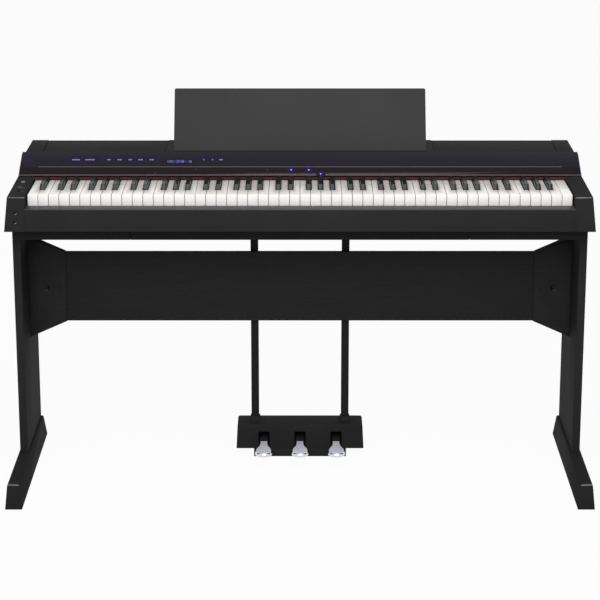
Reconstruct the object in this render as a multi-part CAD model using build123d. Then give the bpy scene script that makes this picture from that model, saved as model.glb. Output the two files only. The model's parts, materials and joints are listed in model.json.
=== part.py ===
from build123d import *
import os
from math import atan2, cos, degrees, hypot, radians, sin, tan

# Digital piano on a board stand, in millimetres, +Z up.
# X runs from the bass end to the treble end, Y from the player to the back.
# Pieces are drawn with Y = 0 at the body's front lower edge and moved on export,
# so that the origin lies on the floor under the middle of the whole object.

# Keyboard
white_pitch = 23.6          # one white key and its gap
white_count = 52
key_gap = 1.0               # between neighbouring white keys
black_width = 11.0          # at the foot of a black key
black_top_width = 9.2
black_side_gap = 1.2        # between a black key and the white keys beside it
black_height = 12.5         # above the white keys
black_length = 94.0
black_front_rake = 5.0      # how far the front face of a black key leans back
black_setback = 50.0        # from the front of a white key to the front of a black key
key_plate = 3.5             # thickness of a white key's top
key_lip = 26.0              # height of a white key's front face
key_lip_wall = 3.0
key_arm_width = 10.0
black_arm_width = 8.0
key_pivot_reach = 210.0     # from the front of a white key back to its pivot
key_tail = 7.0              # length of a key behind its pivot
key_top_over_pivot = 14.0
key_arm_drop = 4.0          # how far a key's arm reaches below its pivot, beside the notch
key_rest_tilt = 1.06        # degrees, front up
key_dip = 10.0              # travel of a white key's front edge
pivot_clearance = 0.15
ridge_half_angle = 35.0     # of the pivot ridge, in degrees
notch_half_angle = 45.0     # of the notch that sits on it
ridge_foot = 2.0            # height of the pivot ridge below the keys' levers
pivot_rail_depth = 14.0
front_rail_ahead = 2.0      # how far the front rail reaches ahead of the keys
front_rail_depth = 20.0
stop_felt_height = 3.0
stop_felt_gap = 0.5         # left above the felt under a key that is fully down
rib_height = 16.0
rib_thickness = 4.0
ribs_each_side = 3          # one rib to an octave

# Body
key_side_gap = 2.4          # between the outer keys and the end blocks
end_block_width = 44.0
body_depth = 401.0
body_front_height = 72.0    # from the lower edge of the front to its upper edge
body_front_rake = 30.0      # how far the front face leans back over that height
side_draft = 4.5            # how far the sides lean in over that height
end_top_rise = 1.1          # of the end blocks' tops, from front to panel
panel_behind_felt = 12.7    # where the panel's underside meets the end blocks
panel_run = 57.0            # depth covered by the sloping panel
panel_rise = 42.7
panel_thickness = 4.0
panel_inset = 1.5           # of the panel's ends from the sloping sides
panel_flange = 6.0          # ledge behind the panel that carries the covers
edge_trim_width = 2.0
divider_width = 1.2
divider_height = 0.6
divider_sunk = 0.3
divider_along = 25.0        # up the slope from the panel's lower edge
divider_inset = 6.0         # of the divider's ends from the end blocks
cover_thickness = 3.0       # of the lids; the other covers are thicker by the lids' drop
cover_gap = 0.6
rear_inset = 15.5           # of the rear covers' ends from the body's widest edge
cap_width = 40.5
cap_round = 3.0
lid_seam = 315.0            # between a lid and the centre cover
lid_drop = 1.0              # lids lie this much lower than the end caps
wall = 3.0
block_cavity_inset = 12.0   # outer wall of the hollow end blocks
end_block_round = 3.0       # along their front upper edges
key_setback = 59.0          # from the body's front edge to the keys
key_below_front = 2.0       # key tops below the end blocks' front upper edges
slip_height = 45.0
slip_wall = 4.0
slip_key_gap = 7.0          # between the slip's top and the keys
strip_height = 2.0
felt_key_gap = 1.2          # between the black keys and the felt
felt_thickness = 3.5
felt_over_keys = 1.2
felt_height = 5.0
key_plate_cover = 8.0       # of the white keys' tops behind the felt
felt_rail_height = 3.5      # at its front
felt_rail_reach = 16.0      # up the underside of the panel
base_plate = 6.0
base_front = 10.0           # front edge of the base plate, behind the slip
pan_gap = 0.6               # between the pan and the support boards
pan_depth = 304.0
pan_edge = 9.0              # of base plate between the front rail and the pan's hollow
board_thickness = 1.6
standoff = 6.0
standoff_side = 7.0
contact_board_y = (130.0, 172.0)
lamp_board_along = (16.0, 32.0)
main_board_x = (-170.0, 150.0)
main_board_y = (150.0, 300.0)
main_board_margin = 16.0

# Controls and sockets in the left end block
control_from_keys = 20.5    # from the end block's inner face
control_wall = 3.5          # round the button and the slider inside the block
control_block_depth = 14.0
button_y = 165.0
button_radius = 4.5
button_proud = 2.5
button_length = 7.0
button_travel = 1.5
control_clearance = 0.3
slider_y0 = 81.0
slider_y1 = 116.0
slider_slot = 3.0
slider_knob = (9.0, 6.0, 4.5)
slider_knob_y = 108.0
slider_depth = 9.0
headphone_heights = (19.5, 38.5)
headphone_radius = 5.3
headphone_bore = 6.5
headphone_length = 14.0
headphone_proud = 0.8
headphone_boss_wall = 2.0
headphone_boss_sunk = 1.0   # of the boss behind the front face

# Socket plate in the back wall
socket_plate_x = -120.0
socket_plate_width = 150.0
socket_plate_height = 34.0
socket_plate_over_base = 52.0
socket_depth = 12.0
socket_plate_sunk = 1.0     # behind the back wall's outer face
power_inlet_x = -55.0       # from the middle of the plate
power_inlet_radius = 3.3
socket_holes = ((-25.0, 8.6, 7.8), (5.0, 13.4, 6.2), (45.0, 16.0, 9.0))

# Music rest
rest_half = 297.0
rest_length = 152.5
rest_thickness = 4.0
rest_lean = 28.0            # degrees from upright
rest_slot_setback = 14.4    # behind the centre cover's front edge
rest_slot_depth = 10.0
rest_clearance = 0.3
rest_holder_wall = 2.5
rest_corner = 4.0

# Speakers
speaker_gap = 5.5           # from a speaker's square frame to the panel and to the back wall
speaker_rim = 7.0           # of the frame round the cone
speaker_corner = 16.0       # cut from the frame's corners
speaker_frame = 4.0
speaker_depth = 60.0
basket_rim = 2.0            # straight wall at the top of the basket and of the cone
cone_depth = 22.0
cone_wall = 3.0             # of the basket round the cone
speaker_side_count = 16     # flats of the round parts, which no one sees
dust_cap_share = 0.325      # of the cone's radius
magnet_share = 0.7          # of the cone's radius
magnet_height = 22.0
back_ledge = 12.0           # ledge on the back wall that carries the covers

# Stand
foot_height = 53.0          # floor to the top of a foot, pads included
pad_height = 3.0
pad_radius = 11.0
pad_side_count = 16
pad_inset = 22.0            # from the ends of a foot
foot_reach = 143.0          # in front of the body's front edge
foot_front_rake = 24.0
foot_back = 326.0
foot_back_rake = 4.0
foot_top_width = 27.0
foot_overhang = 4.0         # of a foot's top beyond its leg
foot_outer_draft = 3.0
foot_inner_draft = 8.0
foot_bevel = 2.5
leg_thickness = 18.0
leg_inset = 7.0             # of the legs' outer faces from the body's widest edge
leg_front = 73.0
leg_depth = 247.0
leg_height = 516.0
leg_round = 1.5             # along the front edges
support_height = 39.0
support_seam = 385.0        # inner end of a support board
board_setback = 123.0       # behind the legs' front edges
board_depth = 12.0
board_height = 168.0
board_top_below_support = 64.0
wing_width = 87.0
wing_depth = 18.0
wing_flare = 39.0           # added above and below the board where a wing meets its leg
cam_radius = 8.2
cam_depth = 12.0
cam_from_leg = 40.0
cam_drop = 3.0              # below the middle of the board
screw_radius = 3.0
screw_side_count = 6
screw_from_board = 14.0
bracket_size = 55.0
bracket_sheet = 2.5
bracket_depth = 60.0
bracket_from_back = 20.0    # from the legs' rear edges
knob_radius = 13.5          # from the middle to a flat side
knob_side_count = 10        # flat sides of a knob, for the fingers
knob_height = 14.0
knob_bevel = 2.0
stud_radius = 3.0
bolt_side_count = 6         # of the studs, bolts and their holes
stud_clearance = 0.3
knob_setback = 177.0        # behind the legs' front edges
knob_from_bracket = 6.0     # between an outer knob and the bracket beside it
knob_pitch = 130.0
leg_bolt_radius = 4.0
leg_bolt_head = 6.2
leg_bolt_head_height = 5.0
leg_bolt_sunk = 3.0         # of the heads into a foot's underside
leg_bolt_grip = 40.0        # length of a bolt inside its leg
leg_bolt_ends = 45.0        # from the ends of a leg to its bolts

# Pedal unit
pedal_box_top = 79.5
pedal_box_under = 20.0
pedal_box_ahead = 12.0      # in front of the back board
pedal_box_depth = 66.0
pedal_box_half = 152.0
pedal_box_draft = 3.0
pedal_box_round = 5.0
pedal_box_bevel = 1.5       # round the front face
pedal_pitch = 86.0
pedal_slot_width = 26.0
pedal_slot_top = 62.5
pedal_base_half = 110.0
pedal_pivot_setback = 54.0  # behind the housing's front
pedal_pivot_z = 42.0
pedal_axle_radius = 3.0
axle_clearance = 0.05
bearing_side_count = 8      # of the holes that the axle runs in
pedal_hub_radius = 7.0
pedal_neck_half = 10.2
pedal_pad_half = 20.0
pedal_neck_reach = 74.0     # from the pivot to where the pad starts to widen
pedal_widest_reach = 118.0
pedal_thickness = 8.0
pedal_rest_tilt = 3.4       # degrees, front down
pedal_bevel = 2.4
lug_thickness = 4.0
lug_gap = 0.4
lug_behind = 2.0            # of a lug behind the pedal's hub
axle_overhang = 3.0         # of the axle beyond the outer lugs
post_x = 107.0
post_side = 18.0
post_flange = 40.0
post_flange_sheet = 3.0
collar_height = 13.0
collar_foot = 26.0
collar_head = 22.0
collar_clearance = 0.3

# Worked out from the sizes above
key_half = white_pitch * white_count / 2
inner_half = key_half + key_side_gap
body_half = inner_half + end_block_width
rear_half = body_half - rear_inset
cap_seam = rear_half - cap_width
divider_half = inner_half - divider_inset
control_x = inner_half + control_from_keys
leg_top = foot_height + leg_height
base_z = leg_top + support_height
front_top_z = base_z + body_front_height
end_rear_z = front_top_z + end_top_rise
felt_y = key_setback + black_setback + black_length + felt_key_gap
panel_foot_y = felt_y + felt_thickness + panel_behind_felt
slope_length = hypot(panel_run, panel_rise)
slope_y = panel_run / slope_length
slope_z = panel_rise / slope_length
panel_low = (panel_foot_y - panel_thickness * slope_z, end_rear_z + panel_thickness * slope_y)
panel_high = (panel_low[0] + panel_run, panel_low[1] + panel_rise)
top_z = panel_high[1]
cover_y = panel_high[0] + cover_gap
rest_slot_y = cover_y + rest_slot_setback
slip_back = key_setback - slip_key_gap
pivot_y = key_setback + key_pivot_reach
key_lift = key_pivot_reach * sin(radians(key_rest_tilt))
pivot_z = front_top_z - key_below_front - key_top_over_pivot - key_lift
leg_outer = body_half - leg_inset
leg_inner = leg_outer - leg_thickness
leg_back = leg_front + leg_depth
pan_half = support_seam - pan_gap
plate_top = base_z + base_plate
board_front = leg_front + board_setback
board_half = leg_inner - wing_width
board_top = leg_top - board_top_below_support
board_low = board_top - board_height
board_middle = (board_top + board_low) / 2
pedal_box_front = board_front - pedal_box_ahead
pedal_pivot_y = pedal_box_front + pedal_pivot_setback
overall_depth = foot_reach + body_depth
to_origin = Pos(0, foot_reach - overall_depth / 2, 0)
cut_over = 1.0              # how far a cutting shape runs past the face it opens
cut_margin = 20.0           # how far a trimming shape runs past what it trims
near = 0.01                 # for telling edges apart by their place

os.makedirs("parts", exist_ok=True)


# Helpers

def block(x0, x1, y0, y1, z0, z1):
    """A box between two corners."""
    return Pos((x0 + x1) / 2, (y0 + y1) / 2, (z0 + z1) / 2) * Box(x1 - x0, y1 - y0, z1 - z0)


def rail(points, x0, x1):
    """A side outline of (y, z) points carried along X."""
    return extrude(Plane.YZ.offset(x0) * make_face(Polyline(*points, close=True)), x1 - x0)


def slab(points, y0, y1):
    """A front outline of (x, z) points carried along Y."""
    return extrude(Plane.XZ.offset(-y1) * make_face(Polyline(*points, close=True)), y1 - y0)


def pin(x, y, z, radius, length):
    """An upright round pin that starts at z."""
    return Pos(x, y, z + length / 2) * Cylinder(radius, length)


def polygon(reach, sides):
    """A level outline with flat sides, given from its middle to a flat."""
    return RegularPolygon(reach, sides, major_radius=False)


def prism(x, y, z, reach, sides, length):
    """An upright piece with flat sides that starts at z."""
    return extrude(Pos(x, y, z) * polygon(reach, sides), length)


def funnel(reach, low_reach, sides, depth, rim):
    """A piece below a level top that keeps its reach down a rim and then narrows with flat sides."""
    piece = extrude(polygon(reach, sides), -depth)
    bottom = piece.faces().sort_by(Axis.Z)[0]
    return chamfer(bottom.edges(), reach - low_reach, depth - rim, reference=bottom)


def on_slope(along, height=0.0):
    """A (y, z) point up the panel's slope and above its face."""
    return (
        panel_low[0] + along * slope_y - height * slope_z,
        panel_low[1] + along * slope_z + height * slope_y,
    )


def front_point(height):
    """A (y, z) point on the raked front face."""
    return (body_front_rake * height / body_front_height, base_z + height)


def side_at(z):
    """Half width of the body's leaning sides at a height."""
    return body_half - side_draft * (z - base_z) / body_front_height


def mirrored(shape):
    """The same piece at the other end of the piano."""
    return mirror(shape, Plane.YZ)


def save(name, *solids):
    """Move a piece, or a group of like pieces, to the origin and write it."""
    moved = [to_origin * solid for solid in solids]
    shape = moved[0] if len(moved) == 1 else Compound(children=moved)
    export_step(shape, f"parts/{name}.step")


# Keys: each is drawn about its pivot, then tipped and moved to its place

octave_names = ("c", "c_sharp", "d", "d_sharp", "e", "f", "f_sharp", "g", "g_sharp", "a", "a_sharp", "b")
white_names = [name for name in octave_names if "sharp" not in name]
first_name = "a"            # of the lowest key
note_count = 88
black_cut = black_width + 2 * black_side_gap
low_tail = (3 * white_pitch - 2 * black_cut) / 3    # equal tails among C, D and E
high_tail = (4 * white_pitch - 3 * black_cut) / 4   # equal tails among F, G, A and B
black_centres = {
    "c_sharp": low_tail + black_cut / 2,
    "d_sharp": 2 * low_tail + 1.5 * black_cut,
    "f_sharp": 3 * white_pitch + high_tail + black_cut / 2,
    "g_sharp": 3 * white_pitch + 2 * high_tail + 1.5 * black_cut,
    "a_sharp": 3 * white_pitch + 3 * high_tail + 2.5 * black_cut,
}
key_front = -key_pivot_reach
plate_end = felt_y + felt_thickness + key_plate_cover - pivot_y
notch_depth = key_arm_drop + pivot_clearance


def key_arm(width, centre, start):
    """The lever under a key, with the notch that rocks on the pivot ridge."""
    half_notch = notch_depth * tan(radians(notch_half_angle))
    foot = half_notch + key_arm_drop
    outline = [
        (start, 0),
        (-foot - key_arm_drop, 0),
        (-foot, -key_arm_drop),
        (-half_notch, -key_arm_drop),
        (0, pivot_clearance),
        (half_notch, -key_arm_drop),
        (half_notch + key_tail, -key_arm_drop),
        (half_notch + key_tail, key_top_over_pivot - key_plate),
        (start, key_top_over_pivot - key_plate),
    ]
    return rail(outline, centre - width / 2, centre + width / 2)


def in_line(before, point, after):
    """Whether three outline points share an x or a y."""
    return before[0] == point[0] == after[0] or before[1] == point[1] == after[1]


def without_idle_points(points):
    """The outline with its doubled points, and then its points in line, left out."""
    once = [point for index, point in enumerate(points) if point != points[index - 1]]
    count = len(once)
    return [once[i] for i in range(count) if not in_line(once[i - 1], once[i], once[(i + 1) % count])]


def white_key(left, right, tail_left, tail_right):
    """A white key between its edges, narrowed behind for the black keys."""
    low = key_top_over_pivot - key_plate
    high = key_top_over_pivot
    step = key_front + black_setback - black_side_gap
    outline = [
        (left, key_front),
        (right, key_front),
        (right, step),
        (tail_right, step),
        (tail_right, plate_end),
        (tail_left, plate_end),
        (tail_left, step),
        (left, step),
    ]
    corners = without_idle_points(outline)
    key = extrude(Plane.XY.offset(low) * make_face(Polyline(*corners, close=True)), key_plate)
    key += block(left, right, key_front, key_front + key_lip_wall, high - key_lip, high)
    arm_start = key_front + key_lip_wall
    return key + key_arm(key_arm_width, (tail_left + tail_right) / 2, arm_start)


def black_key(centre):
    """A black key: a tapered block on its lever."""
    foot_z = key_top_over_pivot - key_plate
    head_z = key_top_over_pivot + black_height
    front = key_front + black_setback
    back = front + black_length
    foot = Pos(centre, (front + back) / 2, foot_z) * Rectangle(black_width, black_length)
    head_length = black_length - black_front_rake
    head_y = (front + black_front_rake + back) / 2
    head = Pos(centre, head_y, head_z) * Rectangle(black_top_width, head_length)
    return loft([foot, head], ruled=True) + key_arm(black_arm_width, centre, front + black_front_rake)


keys = {name: [] for name in octave_names}
key_place = Pos(0, pivot_y, pivot_z) * Rot(-key_rest_tilt, 0, 0)
octave_width = len(white_names) * white_pitch
octave_notes = len(octave_names)
first_note = octave_names.index(first_name)
bass_edge = -key_half - white_names.index(first_name) * white_pitch
for index in range(note_count):
    octave, step = divmod(first_note + index, octave_notes)
    name = octave_names[step]
    octave_x = bass_edge + octave_width * octave
    if name in black_centres:
        key = black_key(octave_x + black_centres[name])
    else:
        left = octave_x + white_pitch * white_names.index(name) + key_gap / 2
        right = left + white_pitch - key_gap
        tail_left = left
        tail_right = right
        below = octave_names[step - 1]
        above = octave_names[(step + 1) % octave_notes]
        if below in black_centres and index > 0:
            tail_left = octave_x + black_centres[below] + black_cut / 2
        if above in black_centres and index < note_count - 1:
            tail_right = octave_x + black_centres[above] - black_cut / 2
        key = white_key(left, right, tail_left, tail_right)
    keys[name].append(key_place * key)
for name, group in keys.items():
    save(f"keys_{name}", *group)

# Key chassis: front rail, rear rail with the pivot ridge, and cross ribs

ridge_depth = key_arm_drop + ridge_foot
ridge_half = ridge_depth * tan(radians(ridge_half_angle))
rail_half = pivot_rail_depth / 2
rail_top = pivot_z - ridge_depth
lip_low = pivot_z + key_top_over_pivot - key_lip + key_lift
stop_felt_top = lip_low - key_dip - stop_felt_gap
front_rail = (key_setback - front_rail_ahead, key_setback - front_rail_ahead + front_rail_depth)
rear_rail = rail(
    [
        (pivot_y - rail_half, plate_top),
        (pivot_y - rail_half, rail_top),
        (pivot_y - ridge_half, rail_top),
        (pivot_y, pivot_z),
        (pivot_y + ridge_half, rail_top),
        (pivot_y + rail_half, rail_top),
        (pivot_y + rail_half, plate_top),
    ],
    -key_half,
    key_half,
)
chassis = rear_rail + block(-key_half, key_half, *front_rail, plate_top, stop_felt_top - stop_felt_height)
for step in range(-ribs_each_side, ribs_each_side + 1):
    rib_x = step * octave_width
    chassis += block(
        rib_x - rib_thickness / 2,
        rib_x + rib_thickness / 2,
        front_rail[0],
        pivot_y,
        plate_top,
        plate_top + rib_height,
    )
save("key_chassis", chassis)

# Felts: the stop strip under the key fronts and the red strip behind the keys

felt_low = pivot_z + key_top_over_pivot + (pivot_y - felt_y) * sin(radians(key_rest_tilt)) + felt_over_keys
stop_strip = block(-key_half, key_half, *front_rail, stop_felt_top - stop_felt_height, stop_felt_top)
save("key_stop_felt", stop_strip)
rail_y = felt_y + felt_thickness
red_strip = block(-inner_half, inner_half, felt_y, rail_y, felt_low, felt_low + felt_height)
save("key_felt", red_strip)
rail_foot = on_slope(edge_trim_width, -panel_thickness)
rail_head = on_slope(felt_rail_reach, -panel_thickness)
felt_rail = rail(
    [
        (rail_y, felt_low),
        (rail_head[0], felt_low),
        rail_head,
        rail_foot,
        (rail_foot[0], felt_low + felt_rail_height),
        (rail_y, felt_low + felt_rail_height),
    ],
    -inner_half,
    inner_half,
)
save("felt_rail", felt_rail)

# Boards: key contacts on the ribs, guide lamps under the panel, main board in the pan

contact_z = plate_top + rib_height
contact_board = block(-key_half, key_half, *contact_board_y, contact_z, contact_z + board_thickness)
lamp_face = -panel_thickness
lamp_back = lamp_face - board_thickness
lamp_board = rail(
    [
        on_slope(lamp_board_along[0], lamp_face),
        on_slope(lamp_board_along[1], lamp_face),
        on_slope(lamp_board_along[1], lamp_back),
        on_slope(lamp_board_along[0], lamp_back),
    ],
    -divider_half,
    divider_half,
)
pan_floor = leg_top + wall
main_board_z = pan_floor + standoff
main_board = block(*main_board_x, *main_board_y, main_board_z, main_board_z + board_thickness)
for standoff_x in (main_board_x[0] + main_board_margin, main_board_x[1] - main_board_margin):
    for standoff_y in (main_board_y[0] + main_board_margin, main_board_y[1] - main_board_margin):
        post_foot = Pos(standoff_x, standoff_y, pan_floor) * Rectangle(standoff_side, standoff_side)
        main_board += extrude(post_foot, standoff)
save("circuit_boards", contact_board, lamp_board, main_board)

# Lower case: the base plate with the pan that hangs between the support boards

back_wall_y = body_depth - wall
pan_front = leg_front
pan_back = pan_front + pan_depth
lower_case = block(-inner_half, inner_half, base_front, back_wall_y, base_z, plate_top)
lower_case += block(-pan_half, pan_half, pan_front, pan_back, leg_top, base_z)
lower_case -= block(
    -pan_half + wall,
    pan_half - wall,
    front_rail[1] + pan_edge,
    pan_back - wall,
    pan_floor,
    plate_top,
)
outer_knob_x = leg_inner - bracket_size - knob_from_bracket - knob_radius
knob_xs = (outer_knob_x - knob_pitch, outer_knob_x)
knob_y = leg_front + knob_setback
for x in knob_xs:
    stud_hole = prism(x, knob_y, base_z, stud_radius + stud_clearance, bolt_side_count, base_plate)
    lower_case -= stud_hole
    lower_case -= mirrored(stud_hole)
save("lower_case", lower_case)

# End blocks

block_outline = [
    (0, base_z),
    (body_front_rake, front_top_z),
    (panel_foot_y, end_rear_z),
    on_slope(slope_length - panel_thickness, -panel_thickness),
    (panel_high[0], on_slope(slope_length - panel_thickness, -panel_thickness)[1]),
    (panel_high[0], base_z),
]
lean_cut = slab(
    [
        (body_half, base_z),
        (body_half + cut_margin, base_z),
        (body_half + cut_margin, top_z + cut_margin),
        (side_at(top_z + cut_margin), top_z + cut_margin),
    ],
    -cut_margin,
    body_depth,
)


def end_block():
    """The hollow cheek at the treble end, open below."""
    shell = rail(block_outline, inner_half, body_half) - lean_cut
    front_edges = [edge for edge in shell.edges() if abs(edge.center().Z - front_top_z) < near]
    shell = fillet(front_edges, end_block_round)
    cavity = [
        (slip_wall, base_z - cut_over),
        (slip_wall, base_z),
        (body_front_rake + wall, front_top_z - wall),
        (panel_foot_y, end_rear_z - wall),
        (panel_foot_y + panel_run - wall, end_rear_z - wall),
        (panel_foot_y + panel_run - wall, base_z - cut_over),
    ]
    return shell - rail(cavity, inner_half + wall, body_half - block_cavity_inset)


right_block = end_block()
save("right_end_block", right_block)

front_tilt = degrees(atan2(body_front_rake, body_front_height))


def headphone_place(height):
    """Where a headphone socket leaves the raked front, its axis square to the face."""
    y, z = front_point(height)
    return Pos(-control_x, y, z) * Rot(90 - front_tilt, 0, 0)


def top_of_block(y):
    """Height of an end block's top."""
    return front_top_z + end_top_rise * (y - body_front_rake) / (panel_foot_y - body_front_rake)


left_block = mirrored(right_block)
control_half = button_radius + control_wall
left_block += block(
    -control_x - control_half,
    -control_x + control_half,
    slider_y0 - control_wall,
    button_y + control_half,
    top_of_block(button_y) - control_block_depth,
    front_top_z - wall / 2,
)
button_top = top_of_block(button_y) + button_proud
button_low = button_top - button_length
well_low = button_low - button_travel - control_clearance
left_block -= pin(-control_x, button_y, well_low, button_radius + control_clearance, button_top - well_low)
slot_bottom = top_of_block(slider_knob_y) - slider_depth
left_block -= block(
    -control_x - slider_slot / 2,
    -control_x + slider_slot / 2,
    slider_y0,
    slider_y1,
    slot_bottom,
    top_z,
)
sockets = []
for height in headphone_heights:
    place = headphone_place(height)
    boss_side = 2 * (headphone_radius + headphone_boss_wall)
    boss = Box(boss_side, boss_side, headphone_length)
    left_block += place * Pos(0, 0, -headphone_length / 2 - headphone_boss_sunk) * boss
    left_block -= place * Cylinder(headphone_radius, 2 * headphone_length)
    sleeve_length = headphone_length + headphone_proud
    sleeve = Pos(0, 0, headphone_proud - sleeve_length / 2) * Cylinder(headphone_radius, sleeve_length)
    bore = Cylinder(headphone_bore / 2, headphone_length)
    sleeve -= Pos(0, 0, headphone_proud - headphone_length / 2) * bore
    sockets.append(place * sleeve)
save("left_end_block", left_block)
save("headphone_sockets", *sockets)

button = pin(-control_x, button_y, button_low, button_radius, button_length)
save("power_button", button)

knob_low = top_of_block(slider_knob_y) + control_clearance
knob = block(
    -control_x - slider_knob[0] / 2,
    -control_x + slider_knob[0] / 2,
    slider_knob_y - slider_knob[1] / 2,
    slider_knob_y + slider_knob[1] / 2,
    knob_low,
    knob_low + slider_knob[2],
)
stem_half = slider_slot / 2 - control_clearance
knob += block(
    -control_x - stem_half,
    -control_x + stem_half,
    slider_knob_y - stem_half,
    slider_knob_y + stem_half,
    slot_bottom + control_clearance,
    knob_low,
)
save("volume_slider", knob)

# Key slip and its pale top strip

slip_top = front_point(slip_height)
strip_top = front_point(slip_height + strip_height)
slip = rail(
    [
        (0, base_z),
        slip_top,
        (slip_back, slip_top[1]),
        (slip_back, slip_top[1] - wall),
        (slip_top[0] + slip_wall, slip_top[1] - wall),
        (base_front, plate_top),
        (base_front, base_z),
    ],
    -inner_half,
    inner_half,
)
save("key_slip", slip)
strip_outline = [slip_top, strip_top, (slip_back, strip_top[1]), (slip_back, slip_top[1])]
save("key_slip_strip", rail(strip_outline, -inner_half, inner_half))

# Control panel with its edge trim and divider line

ledge = top_z - lid_drop - cover_thickness
panel_outline = [
    on_slope(edge_trim_width),
    panel_high,
    on_slope(slope_length - panel_thickness, -panel_thickness),
    on_slope(edge_trim_width, -panel_thickness),
]


def panel_piece(outline):
    """A strip across the whole panel, its ends cut to the leaning sides."""
    piece = rail(outline, -body_half, body_half)
    cut = Pos(-panel_inset, 0, 0) * lean_cut
    return piece - cut - mirrored(cut)


panel = panel_piece(panel_outline)
panel += rail(
    [
        on_slope(slope_length - 2 * panel_thickness, -panel_thickness / 2),
        (panel_high[0], ledge),
        (panel_high[0] + panel_flange, ledge),
        (panel_high[0] + panel_flange, ledge - wall),
        on_slope(slope_length - 2 * panel_thickness, -panel_thickness),
    ],
    -inner_half + cover_gap,
    inner_half - cover_gap,
)
groove = rail(
    [
        on_slope(divider_along, cut_over),
        on_slope(divider_along + divider_width, cut_over),
        on_slope(divider_along + divider_width, -divider_sunk),
        on_slope(divider_along, -divider_sunk),
    ],
    -divider_half,
    divider_half,
)
panel -= groove
save("control_panel", panel)
trim = panel_piece(
    [
        on_slope(0),
        on_slope(edge_trim_width),
        on_slope(edge_trim_width, -panel_thickness),
        on_slope(0, -panel_thickness),
    ]
)
save("panel_edge_trim", trim)
divider = rail(
    [
        on_slope(divider_along, divider_height - divider_sunk),
        on_slope(divider_along + divider_width, divider_height - divider_sunk),
        on_slope(divider_along + divider_width, -divider_sunk),
        on_slope(divider_along, -divider_sunk),
    ],
    -divider_half,
    divider_half,
)
save("panel_divider", divider)

# Rear covers: centre cover with the slot for the music rest, lids and end caps

lean_y = sin(radians(rest_lean))
lean_z = cos(radians(rest_lean))


def on_rest(along, across):
    """A (y, z) point along the leaning rest, from the cover's top, and across its thickness."""
    return (
        rest_slot_y + along * lean_y + across * lean_z,
        top_z + along * lean_z - across * lean_y,
    )


def rest_strip(low, high, front, back, half):
    """A leaning strip across the middle of the piano."""
    corners = [on_rest(low, front), on_rest(high, front), on_rest(high, back), on_rest(low, back)]
    return rail(corners, -half, half)


cover_back = body_depth
centre_cover = block(-lid_seam, lid_seam, cover_y, cover_back, ledge, top_z)
centre_cover += rest_strip(
    -rest_slot_depth - rest_holder_wall,
    -cut_over,
    -rest_clearance - rest_holder_wall,
    rest_thickness + rest_clearance + rest_holder_wall,
    rest_half + rest_holder_wall,
) - block(-body_half, body_half, 0, body_depth, top_z, top_z + cut_margin)
centre_cover -= rest_strip(
    -rest_slot_depth - rest_clearance,
    cut_margin,
    -rest_clearance,
    rest_thickness + rest_clearance,
    rest_half + rest_clearance,
)
save("centre_cover", centre_cover)

rest = rest_strip(-rest_slot_depth, rest_length, 0, rest_thickness, rest_half)
short_edges = ShapeList(edge for edge in rest.edges() if abs(edge.length - rest_thickness) < near)
rest_corners = short_edges.sort_by(Axis.Z)[-2:]
rest = fillet(rest_corners, rest_corner)
save("music_rest", rest)

lid = block(
    lid_seam + cover_gap,
    cap_seam - cover_gap,
    cover_y,
    cover_back,
    ledge,
    top_z - lid_drop,
)
save("right_speaker_lid", lid)
save("left_speaker_lid", mirrored(lid))

cap = block(cap_seam, rear_half, cover_y, body_depth, base_z, top_z)
cap_edge = cap.edges().filter_by(Axis.Y).sort_by(Axis.Z)[-2:]
cap = fillet([cap_edge.sort_by(Axis.X)[-1]], cap_round)
cap -= block(
    cap_seam - cut_over,
    rear_half - wall,
    cover_y - cut_over,
    body_depth + cut_over,
    base_z - cut_over,
    ledge,
)
save("right_rear_cap", cap)
save("left_rear_cap", mirrored(cap))

# Back wall and socket plate

wall_half = rear_half - wall
back_wall = block(-wall_half, wall_half, back_wall_y, body_depth, base_z, ledge)
back_wall += block(-wall_half, wall_half, back_wall_y - back_ledge, back_wall_y, ledge - wall, ledge)
plate_z = base_z + socket_plate_over_base
window_x = (socket_plate_x - socket_plate_width / 2, socket_plate_x + socket_plate_width / 2)
window_z = (plate_z - socket_plate_height / 2, plate_z + socket_plate_height / 2)
back_wall -= block(*window_x, back_wall_y - cut_over, body_depth + cut_over, *window_z)
save("back_wall", back_wall)
socket_back = body_depth - socket_depth
socket_plate = block(*window_x, socket_back - wall, body_depth - socket_plate_sunk, *window_z)
for offset, width, height in socket_holes:
    socket_plate -= block(
        socket_plate_x + offset - width / 2,
        socket_plate_x + offset + width / 2,
        socket_back,
        body_depth,
        plate_z - height / 2,
        plate_z + height / 2,
    )
inlet_place = Pos(socket_plate_x + power_inlet_x, body_depth - socket_depth / 2, plate_z) * Rot(90, 0, 0)
socket_plate -= inlet_place * Cylinder(power_inlet_radius, socket_depth)
save("socket_plate", socket_plate)

# Speakers under the lids

bay_front = panel_high[0] + panel_flange
bay_back = back_wall_y - back_ledge
speaker_side = bay_back - bay_front - 2 * speaker_gap
cone_radius = speaker_side / 2 - speaker_rim
magnet_radius = cone_radius * magnet_share
dust_cap_radius = cone_radius * dust_cap_share
frame_outline = Rectangle(speaker_side, speaker_side)
frame_outline = chamfer(frame_outline.vertices(), speaker_corner)
speaker = extrude(Pos(0, 0, -speaker_frame) * frame_outline, speaker_frame)
basket_radius = cone_radius + cone_wall
basket_depth = speaker_depth - speaker_frame - magnet_height
basket = funnel(basket_radius, magnet_radius, speaker_side_count, basket_depth, basket_rim)
speaker += Pos(0, 0, -speaker_frame) * basket
speaker += prism(0, 0, -speaker_depth, magnet_radius, speaker_side_count, magnet_height)
speaker -= funnel(cone_radius, dust_cap_radius, speaker_side_count, cone_depth, basket_rim)
speaker = Pos((lid_seam + cap_seam) / 2, (bay_front + bay_back) / 2, ledge) * speaker
save("right_speaker", speaker)
save("left_speaker", mirrored(speaker))

# Feet, pads, legs and their bolts

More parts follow.
